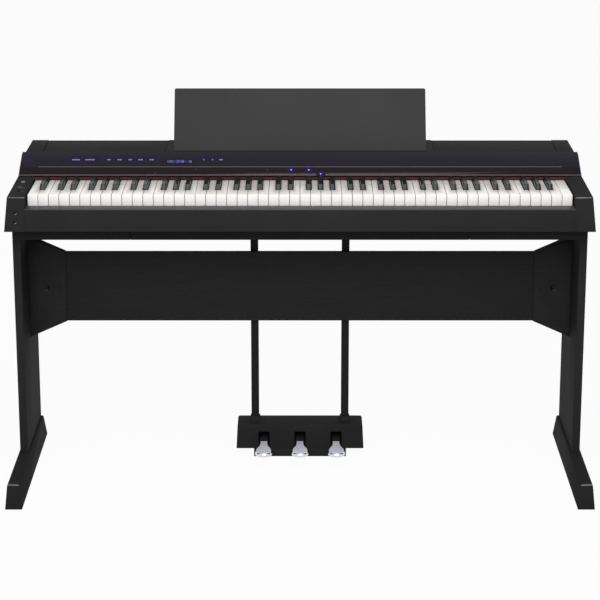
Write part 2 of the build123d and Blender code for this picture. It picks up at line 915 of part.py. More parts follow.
foot_top_outer = leg_outer + foot_overhang
foot_top_inner = foot_top_outer - foot_top_width
foot_low_outer = foot_top_outer + foot_outer_draft
foot_low_inner = foot_top_inner - foot_inner_draft


def foot_face(inner, outer, front, back, z):
    """One level outline of a foot."""
    return Pos((inner + outer) / 2, (front + back) / 2, z) * Rectangle(outer - inner, back - front)


foot = loft(
    [
        foot_face(foot_low_inner, foot_low_outer, -foot_reach, foot_back, pad_height),
        foot_face(
            foot_top_inner,
            foot_top_outer,
            -foot_reach + foot_front_rake,
            foot_back - foot_back_rake,
            foot_height,
        ),
    ],
    ruled=True,
)
foot = chamfer(foot.edges().group_by(Axis.Z)[-1], foot_bevel)
leg_middle = (leg_outer + leg_inner) / 2
bolt_ys = (leg_front + leg_bolt_ends, leg_back - leg_bolt_ends)
bolt_reach = foot_height + leg_bolt_grip
head_low = pad_height + leg_bolt_sunk
leg = block(leg_inner, leg_outer, leg_front, leg_back, foot_height, leg_top)
leg = fillet(leg.edges().filter_by(Axis.Z).group_by(Axis.Y)[0], leg_round)
bolts = []
for y in bolt_ys:
    shank = prism(leg_middle, y, head_low, leg_bolt_radius, bolt_side_count, bolt_reach - head_low)
    head = prism(leg_middle, y, head_low, leg_bolt_head, bolt_side_count, leg_bolt_head_height)
    bolts.append(shank + head)
    hole = leg_bolt_radius + stud_clearance
    foot -= prism(leg_middle, y, pad_height, hole, bolt_side_count, foot_height)
    head_room = leg_bolt_sunk + leg_bolt_head_height
    foot -= prism(leg_middle, y, pad_height, leg_bolt_head + stud_clearance, bolt_side_count, head_room)
    leg -= prism(leg_middle, y, foot_height, hole, bolt_side_count, leg_bolt_grip + stud_clearance)
save("right_foot", foot)
save("left_foot", mirrored(foot))
save("right_leg", leg)
save("left_leg", mirrored(leg))
save("leg_bolts", *bolts, *[mirrored(bolt) for bolt in bolts])
pad_x = (foot_low_inner + foot_low_outer) / 2
pads = []
for y in (-foot_reach + pad_inset, foot_back - pad_inset):
    pad = prism(pad_x, y, 0, pad_radius, pad_side_count, pad_height)
    pads += [pad, mirrored(pad)]
save("foot_pads", *pads)

# Support boards, their brackets and the knob bolts that hold the piano down

support = block(support_seam, leg_outer, leg_front, leg_back, leg_top, base_z)
knobs = []
for x in knob_xs:
    support -= prism(x, knob_y, leg_top, stud_radius + stud_clearance, bolt_side_count, support_height)
    knob_head = prism(x, knob_y, leg_top - knob_height, knob_radius, knob_side_count, knob_height)
    knob_head = chamfer(knob_head.edges().group_by(Axis.Z)[0], knob_bevel)
    stud_length = support_height + base_plate
    knobs.append(knob_head + prism(x, knob_y, leg_top, stud_radius, bolt_side_count, stud_length))
save("right_support", support)
save("left_support", mirrored(support))
save("knob_bolts", *knobs, *[mirrored(knob) for knob in knobs])
bracket = slab(
    [
        (leg_inner, leg_top),
        (leg_inner, leg_top - bracket_size),
        (leg_inner - bracket_sheet, leg_top - bracket_size),
        (leg_inner - bracket_sheet, leg_top - bracket_sheet),
        (leg_inner - bracket_size, leg_top - bracket_sheet),
        (leg_inner - bracket_size, leg_top),
    ],
    leg_back - bracket_from_back - bracket_depth,
    leg_back - bracket_from_back,
)
save("corner_brackets", bracket, mirrored(bracket))

# Back board, wings and their fasteners

board_back = board_front + board_depth
save("back_board", block(-board_half, board_half, board_front, board_back, board_low, board_top))
wing_front = board_front + (board_depth - wing_depth) / 2
wing = slab(
    [
        (board_half, board_low),
        (leg_inner, board_low - wing_flare),
        (leg_inner, board_top + wing_flare),
        (board_half, board_top),
    ],
    wing_front,
    wing_front + wing_depth,
)
fastener_z = board_middle - cam_drop
cam_x = leg_inner - cam_from_leg
screw_x = board_half + screw_from_board


def wing_fastener(x, outline):
    """A fastener of some outline, flush with the front of a wing."""
    back_face = Plane.XZ.offset(-wing_front - cam_depth)
    return extrude(back_face * Pos(x, fastener_z) * outline, cam_depth)


cam = wing_fastener(cam_x, Circle(cam_radius))
wing_screw = wing_fastener(screw_x, polygon(screw_radius, screw_side_count))
wing -= cam
wing -= wing_screw
save("right_wing", wing)
save("left_wing", mirrored(wing))
save("wing_fasteners", cam, wing_screw, mirrored(cam), mirrored(wing_screw))

# Pedal unit

box_back = pedal_box_front + pedal_box_depth


def box_outline(margin):
    """The rounded front outline of the pedal housing, less a margin."""
    low_half = pedal_box_half - margin
    high_half = pedal_box_half - pedal_box_draft - margin
    high = pedal_box_top - margin
    corners = Polyline(
        (-low_half, pedal_box_under),
        (low_half, pedal_box_under),
        (high_half, high),
        (-high_half, high),
        close=True,
    )
    face = make_face(corners)
    return fillet(face.vertices().group_by(Axis.Y)[-1], pedal_box_round - margin)


pedal_box = extrude(Plane.XZ.offset(-box_back) * box_outline(0), pedal_box_depth)
front_rim = pedal_box.edges().group_by(Axis.Y)[0]
front_rim = [edge for edge in front_rim if edge.center().Z > pedal_box_under + near]
pedal_box = chamfer(front_rim, pedal_box_bevel)
hollow = extrude(Plane.XZ.offset(-box_back + wall) * box_outline(wall), pedal_box_depth - 2 * wall)
pedal_box -= hollow
pedal_xs = (-pedal_pitch, 0, pedal_pitch)
for x in pedal_xs:
    pedal_box -= block(
        x - pedal_slot_width / 2,
        x + pedal_slot_width / 2,
        pedal_box_front - cut_over,
        pedal_box_front + wall + cut_over,
        pedal_box_under - cut_over,
        pedal_slot_top,
    )
save("pedal_box", pedal_box)

base_y0 = pedal_box_front + wall
base_y1 = box_back - wall
pedal_base = block(-pedal_base_half, pedal_base_half, pedal_box_front, box_back, 0, pedal_box_under)
pedal_base -= block(
    -pedal_base_half + wall,
    pedal_base_half - wall,
    base_y0,
    base_y1,
    wall,
    pedal_box_under + cut_over,
)
hub_half = pedal_neck_half
lug_in = hub_half + lug_gap
lug_back = pedal_pivot_y + pedal_hub_radius + lug_behind
for x in pedal_xs:
    for side in (-1, 1):
        lug_x = x + side * (lug_in + lug_thickness / 2)
        pedal_base += block(
            lug_x - lug_thickness / 2,
            lug_x + lug_thickness / 2,
            pedal_pivot_y - pedal_hub_radius,
            lug_back,
            0,
            pedal_pivot_z + pedal_hub_radius,
        )
along_x = Rot(0, 90, 0)
axle_half = pedal_pitch + lug_in + lug_thickness + axle_overhang
axle_place = Pos(0, pedal_pivot_y, pedal_pivot_z) * along_x
bearing = prism(0, 0, -axle_half, pedal_axle_radius + axle_clearance, bearing_side_count, 2 * axle_half)
pedal_base -= axle_place * bearing
save("pedal_base", pedal_base)
save("pedal_axle", axle_place * Cylinder(pedal_axle_radius, 2 * axle_half))


def pedal():
    """One pedal about its pivot: hub, neck and pear-shaped pad."""
    mid_half = (pedal_neck_half + pedal_pad_half) / 2
    mid_reach = (pedal_neck_reach + pedal_widest_reach) / 2
    tip_reach = pedal_widest_reach + pedal_pad_half
    right_side = [
        Line((pedal_neck_half, 0), (pedal_neck_half, -pedal_neck_reach)),
        TangentArc((pedal_neck_half, -pedal_neck_reach), (mid_half, -mid_reach), tangent=(0, -1)),
        TangentArc((pedal_pad_half, -pedal_widest_reach), (mid_half, -mid_reach), tangent=(0, 1)),
    ]
    tip = ThreePointArc(
        (pedal_pad_half, -pedal_widest_reach),
        (0, -tip_reach),
        (-pedal_pad_half, -pedal_widest_reach),
    )
    left_side = [mirror(edge, Plane.YZ) for edge in right_side]
    back = Line((-pedal_neck_half, 0), (pedal_neck_half, 0))
    outline = make_face(Curve() + right_side + [tip] + left_side + [back])
    plate = extrude(Plane.XY.offset(-pedal_thickness / 2) * outline, pedal_thickness)
    rim = [edge for edge in plate.edges().group_by(Axis.Z)[-1] if edge.center().Y < -near]
    plate = chamfer(rim, pedal_bevel)
    hub = along_x * Cylinder(pedal_hub_radius, 2 * hub_half)
    return plate + hub - along_x * bearing


for name, x in zip(("left_pedal", "middle_pedal", "right_pedal"), pedal_xs):
    save(name, Pos(x, pedal_pivot_y, pedal_pivot_z) * Rot(pedal_rest_tilt, 0, 0) * pedal())

# Posts from the pedal housing up to the pan, with their collars

post_y = board_back + post_side / 2
flange_low = leg_top - post_flange_sheet
post = block(
    post_x - post_side / 2,
    post_x + post_side / 2,
    post_y - post_side / 2,
    post_y + post_side / 2,
    pedal_box_top,
    flange_low,
)
post += block(
    post_x - post_flange / 2,
    post_x + post_flange / 2,
    post_y - post_flange / 2,
    post_y + post_flange / 2,
    flange_low,
    leg_top,
)
save("pedal_posts", post, mirrored(post))
collar = loft(
    [
        Pos(post_x, post_y, pedal_box_top) * Rectangle(collar_foot, collar_foot),
        Pos(post_x, post_y, pedal_box_top + collar_height) * Rectangle(collar_head, collar_head),
    ],
    ruled=True,
)
collar_hole = post_side / 2 + collar_clearance
collar -= block(
    post_x - collar_hole,
    post_x + collar_hole,
    post_y - collar_hole,
    post_y + collar_hole,
    pedal_box_top,
    pedal_box_top + collar_height,
)
save("post_collars", collar, mirrored(collar))
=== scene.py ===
import json
from math import cos, pi, radians, sin, tan

import bpy
from bpy.props import FloatProperty, FloatVectorProperty, IntProperty, PointerProperty
from mathutils import Matrix, Vector

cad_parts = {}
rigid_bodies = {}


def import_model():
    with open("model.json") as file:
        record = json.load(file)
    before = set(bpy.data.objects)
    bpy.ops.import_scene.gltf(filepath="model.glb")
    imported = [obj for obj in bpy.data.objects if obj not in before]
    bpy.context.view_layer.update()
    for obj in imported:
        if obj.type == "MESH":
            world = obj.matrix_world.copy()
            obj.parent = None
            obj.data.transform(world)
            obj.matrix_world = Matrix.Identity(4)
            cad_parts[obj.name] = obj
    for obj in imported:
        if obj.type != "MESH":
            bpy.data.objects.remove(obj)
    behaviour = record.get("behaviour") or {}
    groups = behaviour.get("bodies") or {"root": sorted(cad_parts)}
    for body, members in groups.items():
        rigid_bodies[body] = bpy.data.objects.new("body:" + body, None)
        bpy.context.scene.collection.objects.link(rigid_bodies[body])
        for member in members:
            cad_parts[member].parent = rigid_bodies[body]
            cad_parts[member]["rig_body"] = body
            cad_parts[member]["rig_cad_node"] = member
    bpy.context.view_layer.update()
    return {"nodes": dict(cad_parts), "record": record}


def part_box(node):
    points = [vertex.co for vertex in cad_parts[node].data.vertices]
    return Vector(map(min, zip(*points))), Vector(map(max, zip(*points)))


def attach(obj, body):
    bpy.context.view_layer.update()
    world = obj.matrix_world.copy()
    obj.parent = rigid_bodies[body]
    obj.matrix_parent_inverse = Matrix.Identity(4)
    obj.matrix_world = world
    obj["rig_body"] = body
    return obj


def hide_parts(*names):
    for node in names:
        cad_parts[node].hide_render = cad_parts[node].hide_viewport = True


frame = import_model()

# Finishes of a digital piano on its board stand. X runs from bass to treble, Y from player to back.

bl_info = {
    "name": "Digital piano finishes",
    "version": (1, 0, 0),
    "blender": (4, 5, 0),
    "location": "3D View > Sidebar > Piano",
    "description": "Rounds, details and paints the pieces of a digital piano on its stand",
    "category": "Object",
}

MM = 0.001
ROOT = "case_and_stand"
NODE_BODY = {node: body for body, nodes in frame["record"]["behaviour"]["bodies"].items() for node in nodes}
MOUNTS = {mount["name"]: mount for mount in frame["record"]["mounts"]}

# Limits for cleaning a copied mesh: doubles closer than this, faces flatter than this
MERGE_GAP = 0.002 * MM
FLAT_ANGLE = radians(0.5)
SHARP_ANGLE = radians(40)

# The sloping panel: its angle, and the lines of its face along X, from the frame
PANEL_SLOPE = radians(36.84)
PANEL_FLANGE = 6.0 * MM
PANEL_FRONT_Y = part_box("panel_edge_trim")[0].y
PANEL_TOP_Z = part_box("control_panel")[1].z
PANEL_BACK_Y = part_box("control_panel")[1].y - PANEL_FLANGE
PANEL_FRONT_Z = PANEL_TOP_Z - (PANEL_BACK_Y - PANEL_FRONT_Y) * tan(PANEL_SLOPE)


def linear(hex_colour):
    """An sRGB hex colour as linear red, green and blue."""
    channels = [int(hex_colour[i:i + 2], 16) / 255 for i in (0, 2, 4)]
    return tuple(c / 12.92 if c <= 0.04045 else ((c + 0.055) / 1.055) ** 2.4 for c in channels)


def colour_property(name, description, hex_colour):
    """A colour that a user can change, given as sRGB hex."""
    return FloatVectorProperty(
        name=name, description=description, subtype="COLOR", size=3, min=0, max=1, default=linear(hex_colour)
    )


def length_property(name, description, millimetres):
    """A length that a user can change, given in millimetres."""
    return FloatProperty(name=name, description=description, unit="LENGTH", min=0, default=millimetres * MM)


class PianoSizes(bpy.types.PropertyGroup):
    """Sizes of the rounding and of the small details."""

    key_round: length_property("White key rounding", "Radius of a white key's edges", 0.8)
    black_round: length_property("Black key rounding", "Radius of a black key's edges", 1.3)
    case_round: length_property("Case rounding", "Radius of the moulded case's edges", 1.0)
    board_round: length_property("Board rounding", "Radius of the stand boards' edges", 0.9)
    panel_round: length_property("Panel rounding", "Radius of the glossy panel's edges", 1.2)
    pedal_round: length_property("Pedal rounding", "Radius of a pedal's lower edges", 0.8)
    metal_round: length_property("Metal rounding", "Radius of the small metal edges", 0.3)
    mark_height: length_property("Mark height", "Height of the touch marks on the panel", 2.4)
    mark_proud: length_property("Mark thickness", "How far a lit mark stands proud", 0.12)
    lamp_radius: length_property("Lamp radius", "Radius of a guide lamp's lens", 1.4)
    glow_radius: length_property("Glow radius", "Radius of the light round a lit lamp", 11.0)
    screw_radius: length_property("Screw radius", "Radius of a case screw's head", 3.6)
    glow_lift: length_property("Glow height", "Height of the films of light over the panel", 0.1)
    felt_wave: length_property("Felt unevenness", "How far the felt's surface wanders", 0.35)
    round_steps: IntProperty(
        name="Rounding steps", description="Faces across a rounded edge", min=1, max=6, default=2
    )


class PianoColours(bpy.types.PropertyGroup):
    """Colours of the finishes."""

    case: colour_property("Case", "Moulded black plastic of the case", "262626")
    board: colour_property("Boards", "Black facing of the stand's boards", "282828")
    rest: colour_property("Music rest", "Grey of the music rest", "383838")
    panel: colour_property("Panel", "Violet black of the glossy panel", "171421")
    strip: colour_property("Panel strip", "Reddish black of the panel's lower strip", "150b10")
    trim: colour_property("Trim", "Grey of the trim under the keys", "3d3c3f")
    pale_trim: colour_property("Pale trim", "Pale grey of the panel's thin lines", "6c6869")
    white_key: colour_property("White keys", "Warm white of the keys", "f0efeb")
    black_key: colour_property("Black keys", "Black of the sharps", "121411")
    felt: colour_property("Felt", "Dark red of the felt", "4a0c14")
    silver: colour_property("Silver", "Silver lacquer of the pedals", "c6c9d0")
    chrome: colour_property("Chrome", "Chrome of the pedals' rims", "d9dbe0")
    steel: colour_property("Steel", "Plain steel of the fasteners", "8d8d8a")
    lamp: colour_property("Lit lamp", "Blue of the lit guide lamps", "0a0aff")
    mark: colour_property("Touch marks", "Pale blue of the touch marks", "a9b6ea")


def sizes():
    """The sizes that are set now."""
    return bpy.context.scene.piano_sizes


def colours():
    """The colours that are set now."""
    return bpy.context.scene.piano_colours


# Modelling helpers

def pick(*objects):
    """Select these objects alone, the first one active."""
    bpy.ops.object.select_all(action="DESELECT")
    for item in objects:
        item.select_set(True)
    bpy.context.view_layer.objects.active = objects[0]


def dress(piece, name, material, body):
    """Give a finished piece its name, material, body and slot, with its place in its mesh."""
    pick(piece)
    bpy.ops.object.transform_apply(location=True, rotation=True, scale=True)
    piece.name = name
    piece.data.name = name
    piece.data.materials.clear()
    piece.data.materials.append(material)
    bpy.ops.object.shade_smooth_by_angle(angle=SHARP_ANGLE)
    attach(piece, body)
    return piece


def apply_modifiers(piece):
    """Apply all the modifiers of a piece, in order."""
    pick(piece)
    for modifier in list(piece.modifiers):
        bpy.ops.object.modifier_apply(modifier=modifier.name)


def round_edges(piece, radius, steps):
    """Round the sharp edges of a piece."""
    bevel = piece.modifiers.new("edges", "BEVEL")
    bevel.width = radius
    bevel.segments = steps
    bevel.limit_method = "ANGLE"
    bevel.angle_limit = SHARP_ANGLE
    apply_modifiers(piece)


def soften(node, material, radius, steps=None):
    """A copy of a CAD piece with its edges rounded, which stands for it."""
    pick(frame["nodes"][node])
    bpy.ops.object.duplicate()
    piece = bpy.context.active_object
    del piece["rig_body"]
    del piece["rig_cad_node"]
    piece.parent = None
    bpy.ops.object.mode_set(mode="EDIT")
    bpy.ops.mesh.select_all(action="SELECT")
    bpy.ops.mesh.remove_doubles(threshold=MERGE_GAP)
    bpy.ops.mesh.dissolve_limited(angle_limit=FLAT_ANGLE)
    bpy.ops.object.mode_set(mode="OBJECT")
    round_edges(piece, radius, steps or sizes().round_steps)
    dress(piece, f"{node}_finish", material, NODE_BODY[node])
    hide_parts(node)
    return piece


def paint(node, material):
    """Give a CAD piece that keeps its own mesh a better material."""
    piece = frame["nodes"][node]
    piece.data.materials.clear()
    piece.data.materials.append(material)


def joined(pieces):
    """Several pieces made into one mesh."""
    pick(*pieces)
    if len(pieces) > 1:
        bpy.ops.object.join()
    return bpy.context.active_object


def bar(centre, size, turn, radius):
    """A small rounded block: a cube at its size and place, its edges bevelled."""
    bpy.ops.object.select_all(action="DESELECT")
    bpy.ops.mesh.primitive_cube_add(size=1, location=centre, rotation=turn, scale=size)
    piece = bpy.context.active_object
    bpy.ops.object.transform_apply(location=False, rotation=False, scale=True)
    bpy.ops.object.mode_set(mode="EDIT")
    bpy.ops.mesh.select_all(action="SELECT")
    bpy.ops.mesh.bevel(offset=radius, segments=2, affect="EDGES")
    bpy.ops.object.mode_set(mode="OBJECT")
    return piece


def select_faces(piece, test):
    """Select the faces whose centre and normal pass a test, and stay in edit mode."""
    pick(piece)
    bpy.ops.object.mode_set(mode="EDIT")
    bpy.ops.mesh.select_mode(type="FACE")
    bpy.ops.mesh.select_all(action="DESELECT")
    bpy.ops.object.mode_set(mode="OBJECT")
    for face in piece.data.polygons:
        face.select = test(face.center, face.normal)
    bpy.ops.object.mode_set(mode="EDIT")


def button_disc(centre, radius, height, turn, edge, sides=32):
    """A low round piece whose upper edge is rounded: a cylinder, its top inset and raised."""
    bpy.ops.object.select_all(action="DESELECT")
    bpy.ops.mesh.primitive_cylinder_add(
        vertices=sides, radius=radius, depth=height, location=centre, rotation=turn
    )
    piece = bpy.context.active_object
    select_faces(piece, lambda place, normal: normal.z > 0.9)
    bpy.ops.mesh.bevel(offset=edge, segments=3, affect="EDGES")
    bpy.ops.object.mode_set(mode="OBJECT")
    return piece


def cut_cross(piece, centre, radius, depth, turn):
    """Cut a cross recess into a piece, about a point of its face."""
    facing = Matrix.Translation(centre) @ Matrix.Rotation(turn[0], 4, "X")
    for spin in (0, pi / 2):
        place = facing @ Matrix.Rotation(spin, 4, "Z")
        size = (radius * 1.15, radius * 0.26, depth * 2)
        cutter = bar(place.to_translation(), size, place.to_euler(), radius * 0.04)
        cut = piece.modifiers.new("recess", "BOOLEAN")
        cut.operation = "DIFFERENCE"
        cut.object = cutter
        apply_modifiers(piece)
        bpy.data.objects.remove(cutter)


def screw_head(centre, radius, height, turn):
    """A screw's round head with a cross recess cut in it."""
    piece = button_disc(centre, radius, height, turn, radius * 0.25)
    outward = Matrix.Rotation(turn[0], 3, "X") @ Vector((0, 0, 1))
    cut_cross(piece, centre + outward * height / 2, radius, height * 0.4, turn)
    return piece


def face_finish(piece, material, test):
    """Give the faces whose centre and normal pass a test another material."""
    piece.data.materials.append(material)
    for face in piece.data.polygons:
        if test(face.center, face.normal):
            face.material_index = len(piece.data.materials) - 1


def on_panel(x, along, proud=0.0):
    """A point on the panel's face: from the middle, up the slope, and above it."""
    return Vector((
        x,
        PANEL_FRONT_Y + along * cos(PANEL_SLOPE) - proud * sin(PANEL_SLOPE),
        PANEL_FRONT_Z + along * sin(PANEL_SLOPE) + proud * cos(PANEL_SLOPE),
    ))


# Materials

def add(tree, kind, inputs=None, **settings):
    """Add a shader node. Each input is a value, a socket to link, or a node to link by its first output."""
    item = tree.nodes.new(f"ShaderNode{kind}")
    for name, value in settings.items():
        setattr(item, name, value)
    for name, value in (inputs or {}).items():
        if isinstance(value, bpy.types.Node):
            value = value.outputs[0]
        if isinstance(value, bpy.types.NodeSocket):
            tree.links.new(value, item.inputs[name])
        else:
            item.inputs[name].default_value = value
    return item


def finish(recipe):
    """The material that a recipe makes, made once: the recipe adds the nodes and returns the shader."""
    material = bpy.data.materials.get(recipe.__name__)
    if material is None:
        material = bpy.data.materials.new(recipe.__name__)
        material.use_nodes = True
        tree = material.node_tree
        tree.nodes.clear()
        place = add(tree, "TexCoord").outputs["Object"]
        add(tree, "OutputMaterial", {"Surface": recipe(tree, place)})
    return material


def solid(colour, share=1.0):
    """A colour for a node, darkened or lightened by a share."""
    return (*[min(1, c * share) for c in colour], 1)


def per_metre(millimetres):
    """A texture scale that gives features of this size."""
    return 1 / (millimetres * MM)


def moulded_abs(tree, place):
    """Black ABS moulded in a spark-eroded tool."""
    # A fine even grain spreads the highlight; it is drawn at 1.2 mm, coarser than real, so that it shows.
    grain = add(tree, "TexNoise", {"Vector": place, "Scale": per_metre(1.2), "Detail": 2})
    cloud = add(tree, "TexNoise", {"Vector": place, "Scale": per_metre(90), "Detail": 3})
    colour = add(tree, "MixRGB", {
        "Fac": cloud,
        "Color1": solid(colours().case, 0.85),
        "Color2": solid(colours().case, 1.15),
    })
    rough = add(tree, "MapRange", {"Value": grain, "To Min": 0.62, "To Max": 0.78})
    bump = add(tree, "Bump", {"Height": grain, "Strength": 0.25, "Distance": 0.06 * MM})
    return add(tree, "BsdfPrincipled", {
        "Base Color": colour,
        "Roughness": rough,
        "Normal": bump,
        "IOR": 1.5,
        "Specular IOR Level": 0.02,
    })


def painted_highlight_edge(tree, place):
    """The rounded edges of the black pieces, smoother than their faces, with a painted highlight."""
    # Without the grain, and painted four times lighter than the case: a painted highlight, so an edge shows
    # as a thin bright line; its gloss is uneven over 6 mm.
    rub = add(tree, "TexNoise", {"Vector": place, "Scale": per_metre(6), "Detail": 2})
    rough = add(tree, "MapRange", {"Value": rub, "To Min": 0.25, "To Max": 0.4})
    return add(tree, "BsdfPrincipled", {
        "Base Color": solid(colours().case, 4.0),
        "Roughness": rough,
        "IOR": 1.5,
        "Specular IOR Level": 0.6,
    })


def black_nylon(tree, place):
    """Glossy black nylon of the cams and the sockets' mouths."""
    # Injection flow leaves it smooth but faintly cloudy, over about 3 mm.
    flow = add(tree, "TexNoise", {"Vector": place, "Scale": per_metre(3), "Detail": 2})
    rough = add(tree, "MapRange", {"Value": flow, "To Min": 0.2, "To Max": 0.34})
    return add(tree, "BsdfPrincipled", {
        "Base Color": solid(linear("0d0d0d")),
        "Roughness": rough,
        "IOR": 1.53,
        "Specular IOR Level": 0.15,
    })


def faced_board(tree, place, stretch, shade=1.0):
    """Particle board faced with black melamine, embossed with a faint grain."""
    # Long shallow pores run with the board; they break up the sheen. Pores are drawn 3 mm wide to show.
    turned = add(tree, "Mapping", {"Vector": place, "Scale": stretch})
    pores = add(tree, "TexNoise", {
        "Vector": turned, "Scale": per_metre(3), "Detail": 4, "Roughness": 0.6,
    })
    # A shade below 1 darkens the board's colour: painted shade, used for the feet.
    colour = add(tree, "MixRGB", {
        "Fac": pores,
        "Color1": solid(colours().board, 0.75 * shade),
        "Color2": solid(colours().board, 1.25 * shade),
    })
    rough = add(tree, "MapRange", {"Value": pores, "To Min": 0.6, "To Max": 0.78})
    bump = add(tree, "Bump", {"Height": pores, "Strength": 0.2, "Distance": 0.1 * MM})
    return add(tree, "BsdfPrincipled", {
        "Base Color": colour,
        "Roughness": rough,
        "Normal": bump,
        "IOR": 1.5,
        "Specular IOR Level": 0.02,
    })


def faced_board_upright(tree, place):
    """The faced board of the legs, its grain upright."""
    return faced_board(tree, place, (1, 1, 0.06))


def faced_board_across(tree, place):
    """The faced board of the stand's rails, its grain along the piano."""
    return faced_board(tree, place, (0.06, 1, 1))


def faced_board_deep_painted_shade(tree, place):
    """The faced board of the feet, its grain from front to back, darkened as painted shade."""
    return faced_board(tree, place, (1, 0.06, 1), 0.72)


def painted_rest(tree, place):
    """Dark grey satin lacquer on the music rest's thin board."""
    # Sprayed lacquer levels into a very slight orange peel, about 4 mm across.
    peel = add(tree, "TexNoise", {"Vector": place, "Scale": per_metre(4), "Detail": 1})
    cloud = add(tree, "TexNoise", {"Vector": place, "Scale": per_metre(120), "Detail": 2})
    colour = add(tree, "MixRGB", {
        "Fac": cloud,
        "Color1": solid(colours().rest, 0.92),
        "Color2": solid(colours().rest, 1.08),
    })
    bump = add(tree, "Bump", {"Height": peel, "Strength": 0.12, "Distance": 0.05 * MM})
    return add(tree, "BsdfPrincipled", {
        "Base Color": colour,
        "Roughness": 0.6,
        "Normal": bump,
        "IOR": 1.5,
        "Specular IOR Level": 0.05,
    })


def smoked_acrylic(tree, place):
    """Glossy smoked acrylic of the control panel, violet above its divider and reddish below."""
    # A hard clear sheet over a dark print: an even gloss, with faint wiping marks in its roughness.
    height = add(tree, "SeparateXYZ", {"Vector": place})
    low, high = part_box("panel_divider")
    divider_z = (low.z + high.z) / 2
    above = add(tree, "Math", {0: height.outputs["Z"], 1: divider_z}, operation="GREATER_THAN")
    colour = add(tree, "MixRGB", {
        "Fac": above,
        "Color1": solid(colours().strip),
        "Color2": solid(colours().panel),
    })
    wiped = add(tree, "Mapping", {"Vector": place, "Scale": (0.15, 1, 1)})
    smear = add(tree, "TexNoise", {
        "Vector": wiped, "Scale": per_metre(14), "Detail": 3,
    })
    rough = add(tree, "MapRange", {"Value": smear, "To Min": 0.1, "To Max": 0.2})
    return add(tree, "BsdfPrincipled", {
        "Base Color": colour,
        "Roughness": rough,
        "IOR": 1.49,
        "Specular IOR Level": 0.14,
    })


def sheet_edge_highlight(tree, place):
    """The sawn and flamed edges of the smoked sheet, painted greyer than its face as a highlight."""
    # The grey stands in for light caught by the edge, a painted highlight that shows as a thin grey line;
    # saw lines are drawn 1 mm apart in its roughness.
    saw = add(tree, "TexNoise", {"Vector": place, "Scale": per_metre(1), "Detail": 1})
    rough = add(tree, "MapRange", {"Value": saw, "To Min": 0.3, "To Max": 0.5})
    return add(tree, "BsdfPrincipled", {
        "Base Color": solid(linear("4a484d")),
        "Roughness": rough,
        "IOR": 1.49,
        "Specular IOR Level": 0.4,
    })


def drawn_trim(tree, place, colour):
    """Grey satin lacquer on the thin trim strips."""
    # Drawn along their length, so the sheen runs in fine lines, drawn 0.8 mm apart.
    drawn = add(tree, "Mapping", {"Vector": place, "Scale": (0.02, 1, 1)})
    lines = add(tree, "TexNoise", {"Vector": drawn, "Scale": per_metre(0.8)})
    rough = add(tree, "MapRange", {"Value": lines, "To Min": 0.3, "To Max": 0.5})
    return add(tree, "BsdfPrincipled", {
        "Base Color": solid(colour),
        "Roughness": rough,
        "IOR": 1.5,
        "Specular IOR Level": 0.1,
    })


def satin_trim(tree, place):
    """The trim under the keys' front edges."""
    return drawn_trim(tree, place, colours().trim)


def pale_trim(tree, place):
    """The thin pale lines of the panel."""
    return drawn_trim(tree, place, colours().pale_trim)


def key_acrylic(tree, place):
    """White acrylic of the keys, moulded and lightly polished."""
    # Warm white with a soft gloss; played tops are a little duller in patches about 30 mm across.
    worn = add(tree, "TexNoise", {"Vector": place, "Scale": per_metre(30), "Detail": 3})
    colour = add(tree, "MixRGB", {
        "Fac": worn,
        "Color1": solid(colours().white_key, 0.97),
        "Color2": solid(colours().white_key, 1.02),
    })
    rough = add(tree, "MapRange", {"Value": worn, "To Min": 0.22, "To Max": 0.36})
    return add(tree, "BsdfPrincipled", {
        "Base Color": colour,
        "Roughness": rough,
        "IOR": 1.49,
        "Specular IOR Level": 0.4,
    })


def key_ebony_resin(tree, place):
    """Matt black resin of the sharps, grained like ebony."""
    # Fine lines run along the key; they dull the top and leave a soft sheen. Drawn 1 mm apart to show.
    drawn = add(tree, "Mapping", {"Vector": place, "Scale": (1, 0.05, 1)})
    lines = add(tree, "TexNoise", {
        "Vector": drawn, "Scale": per_metre(1), "Detail": 3,
    })
    colour = add(tree, "MixRGB", {
        "Fac": lines,
        "Color1": solid(colours().black_key, 0.7),
        "Color2": solid(colours().black_key, 1.3),
    })
    bump = add(tree, "Bump", {"Height": lines, "Strength": 0.3, "Distance": 0.05 * MM})
    return add(tree, "BsdfPrincipled", {
        "Base Color": colour,
        "Roughness": 0.22,
        "Normal": bump,
        "IOR": 1.5,
        "Specular IOR Level": 0.2,
    })


def wool_felt(tree, place):
    """Dyed wool felt, pressed."""
    # Matted fibres: a mottled red with a soft sheen at the edges. Tufts are drawn 1.5 mm across.
    tufts = add(tree, "TexNoise", {
        "Vector": place, "Scale": per_metre(1.5), "Detail": 5, "Roughness": 0.7,
    })
    colour = add(tree, "MixRGB", {
        "Fac": tufts,
        "Color1": solid(colours().felt, 0.6),
        "Color2": solid(colours().felt, 1.5),
    })
    bump = add(tree, "Bump", {"Height": tufts, "Strength": 0.6, "Distance": 0.3 * MM})
    return add(tree, "BsdfPrincipled", {
        "Base Color": colour,
        "Roughness": 0.95,
        "Normal": bump,
        "Specular IOR Level": 0.1,
        "Sheen Weight": 0.3,
        "Sheen Roughness": 0.5,
    })


def silver_lacquer(tree, place):
    """Silver lacquer on the pedals' tops."""
    # Aluminium flakes in the lacquer glitter; they are drawn 1.2 mm across, larger than real, to show.
    flakes = add(tree, "TexVoronoi", {"Vector": place, "Scale": per_metre(1.2)})
    glint = add(tree, "SeparateColor", {"Color": flakes.outputs["Color"]})
    colour = add(tree, "MixRGB", {
        "Fac": glint.outputs["Red"],
        "Color1": solid(colours().silver, 0.8),
        "Color2": solid(colours().silver, 1.2),
    })
    rough = add(tree, "MapRange", {"Value": glint.outputs["Green"], "To Min": 0.36, "To Max": 0.56})
    return add(tree, "BsdfPrincipled", {
        "Base Color": colour,
        "Metallic": 0.2,
        "Roughness": rough,
        "IOR": 1.5,
    })


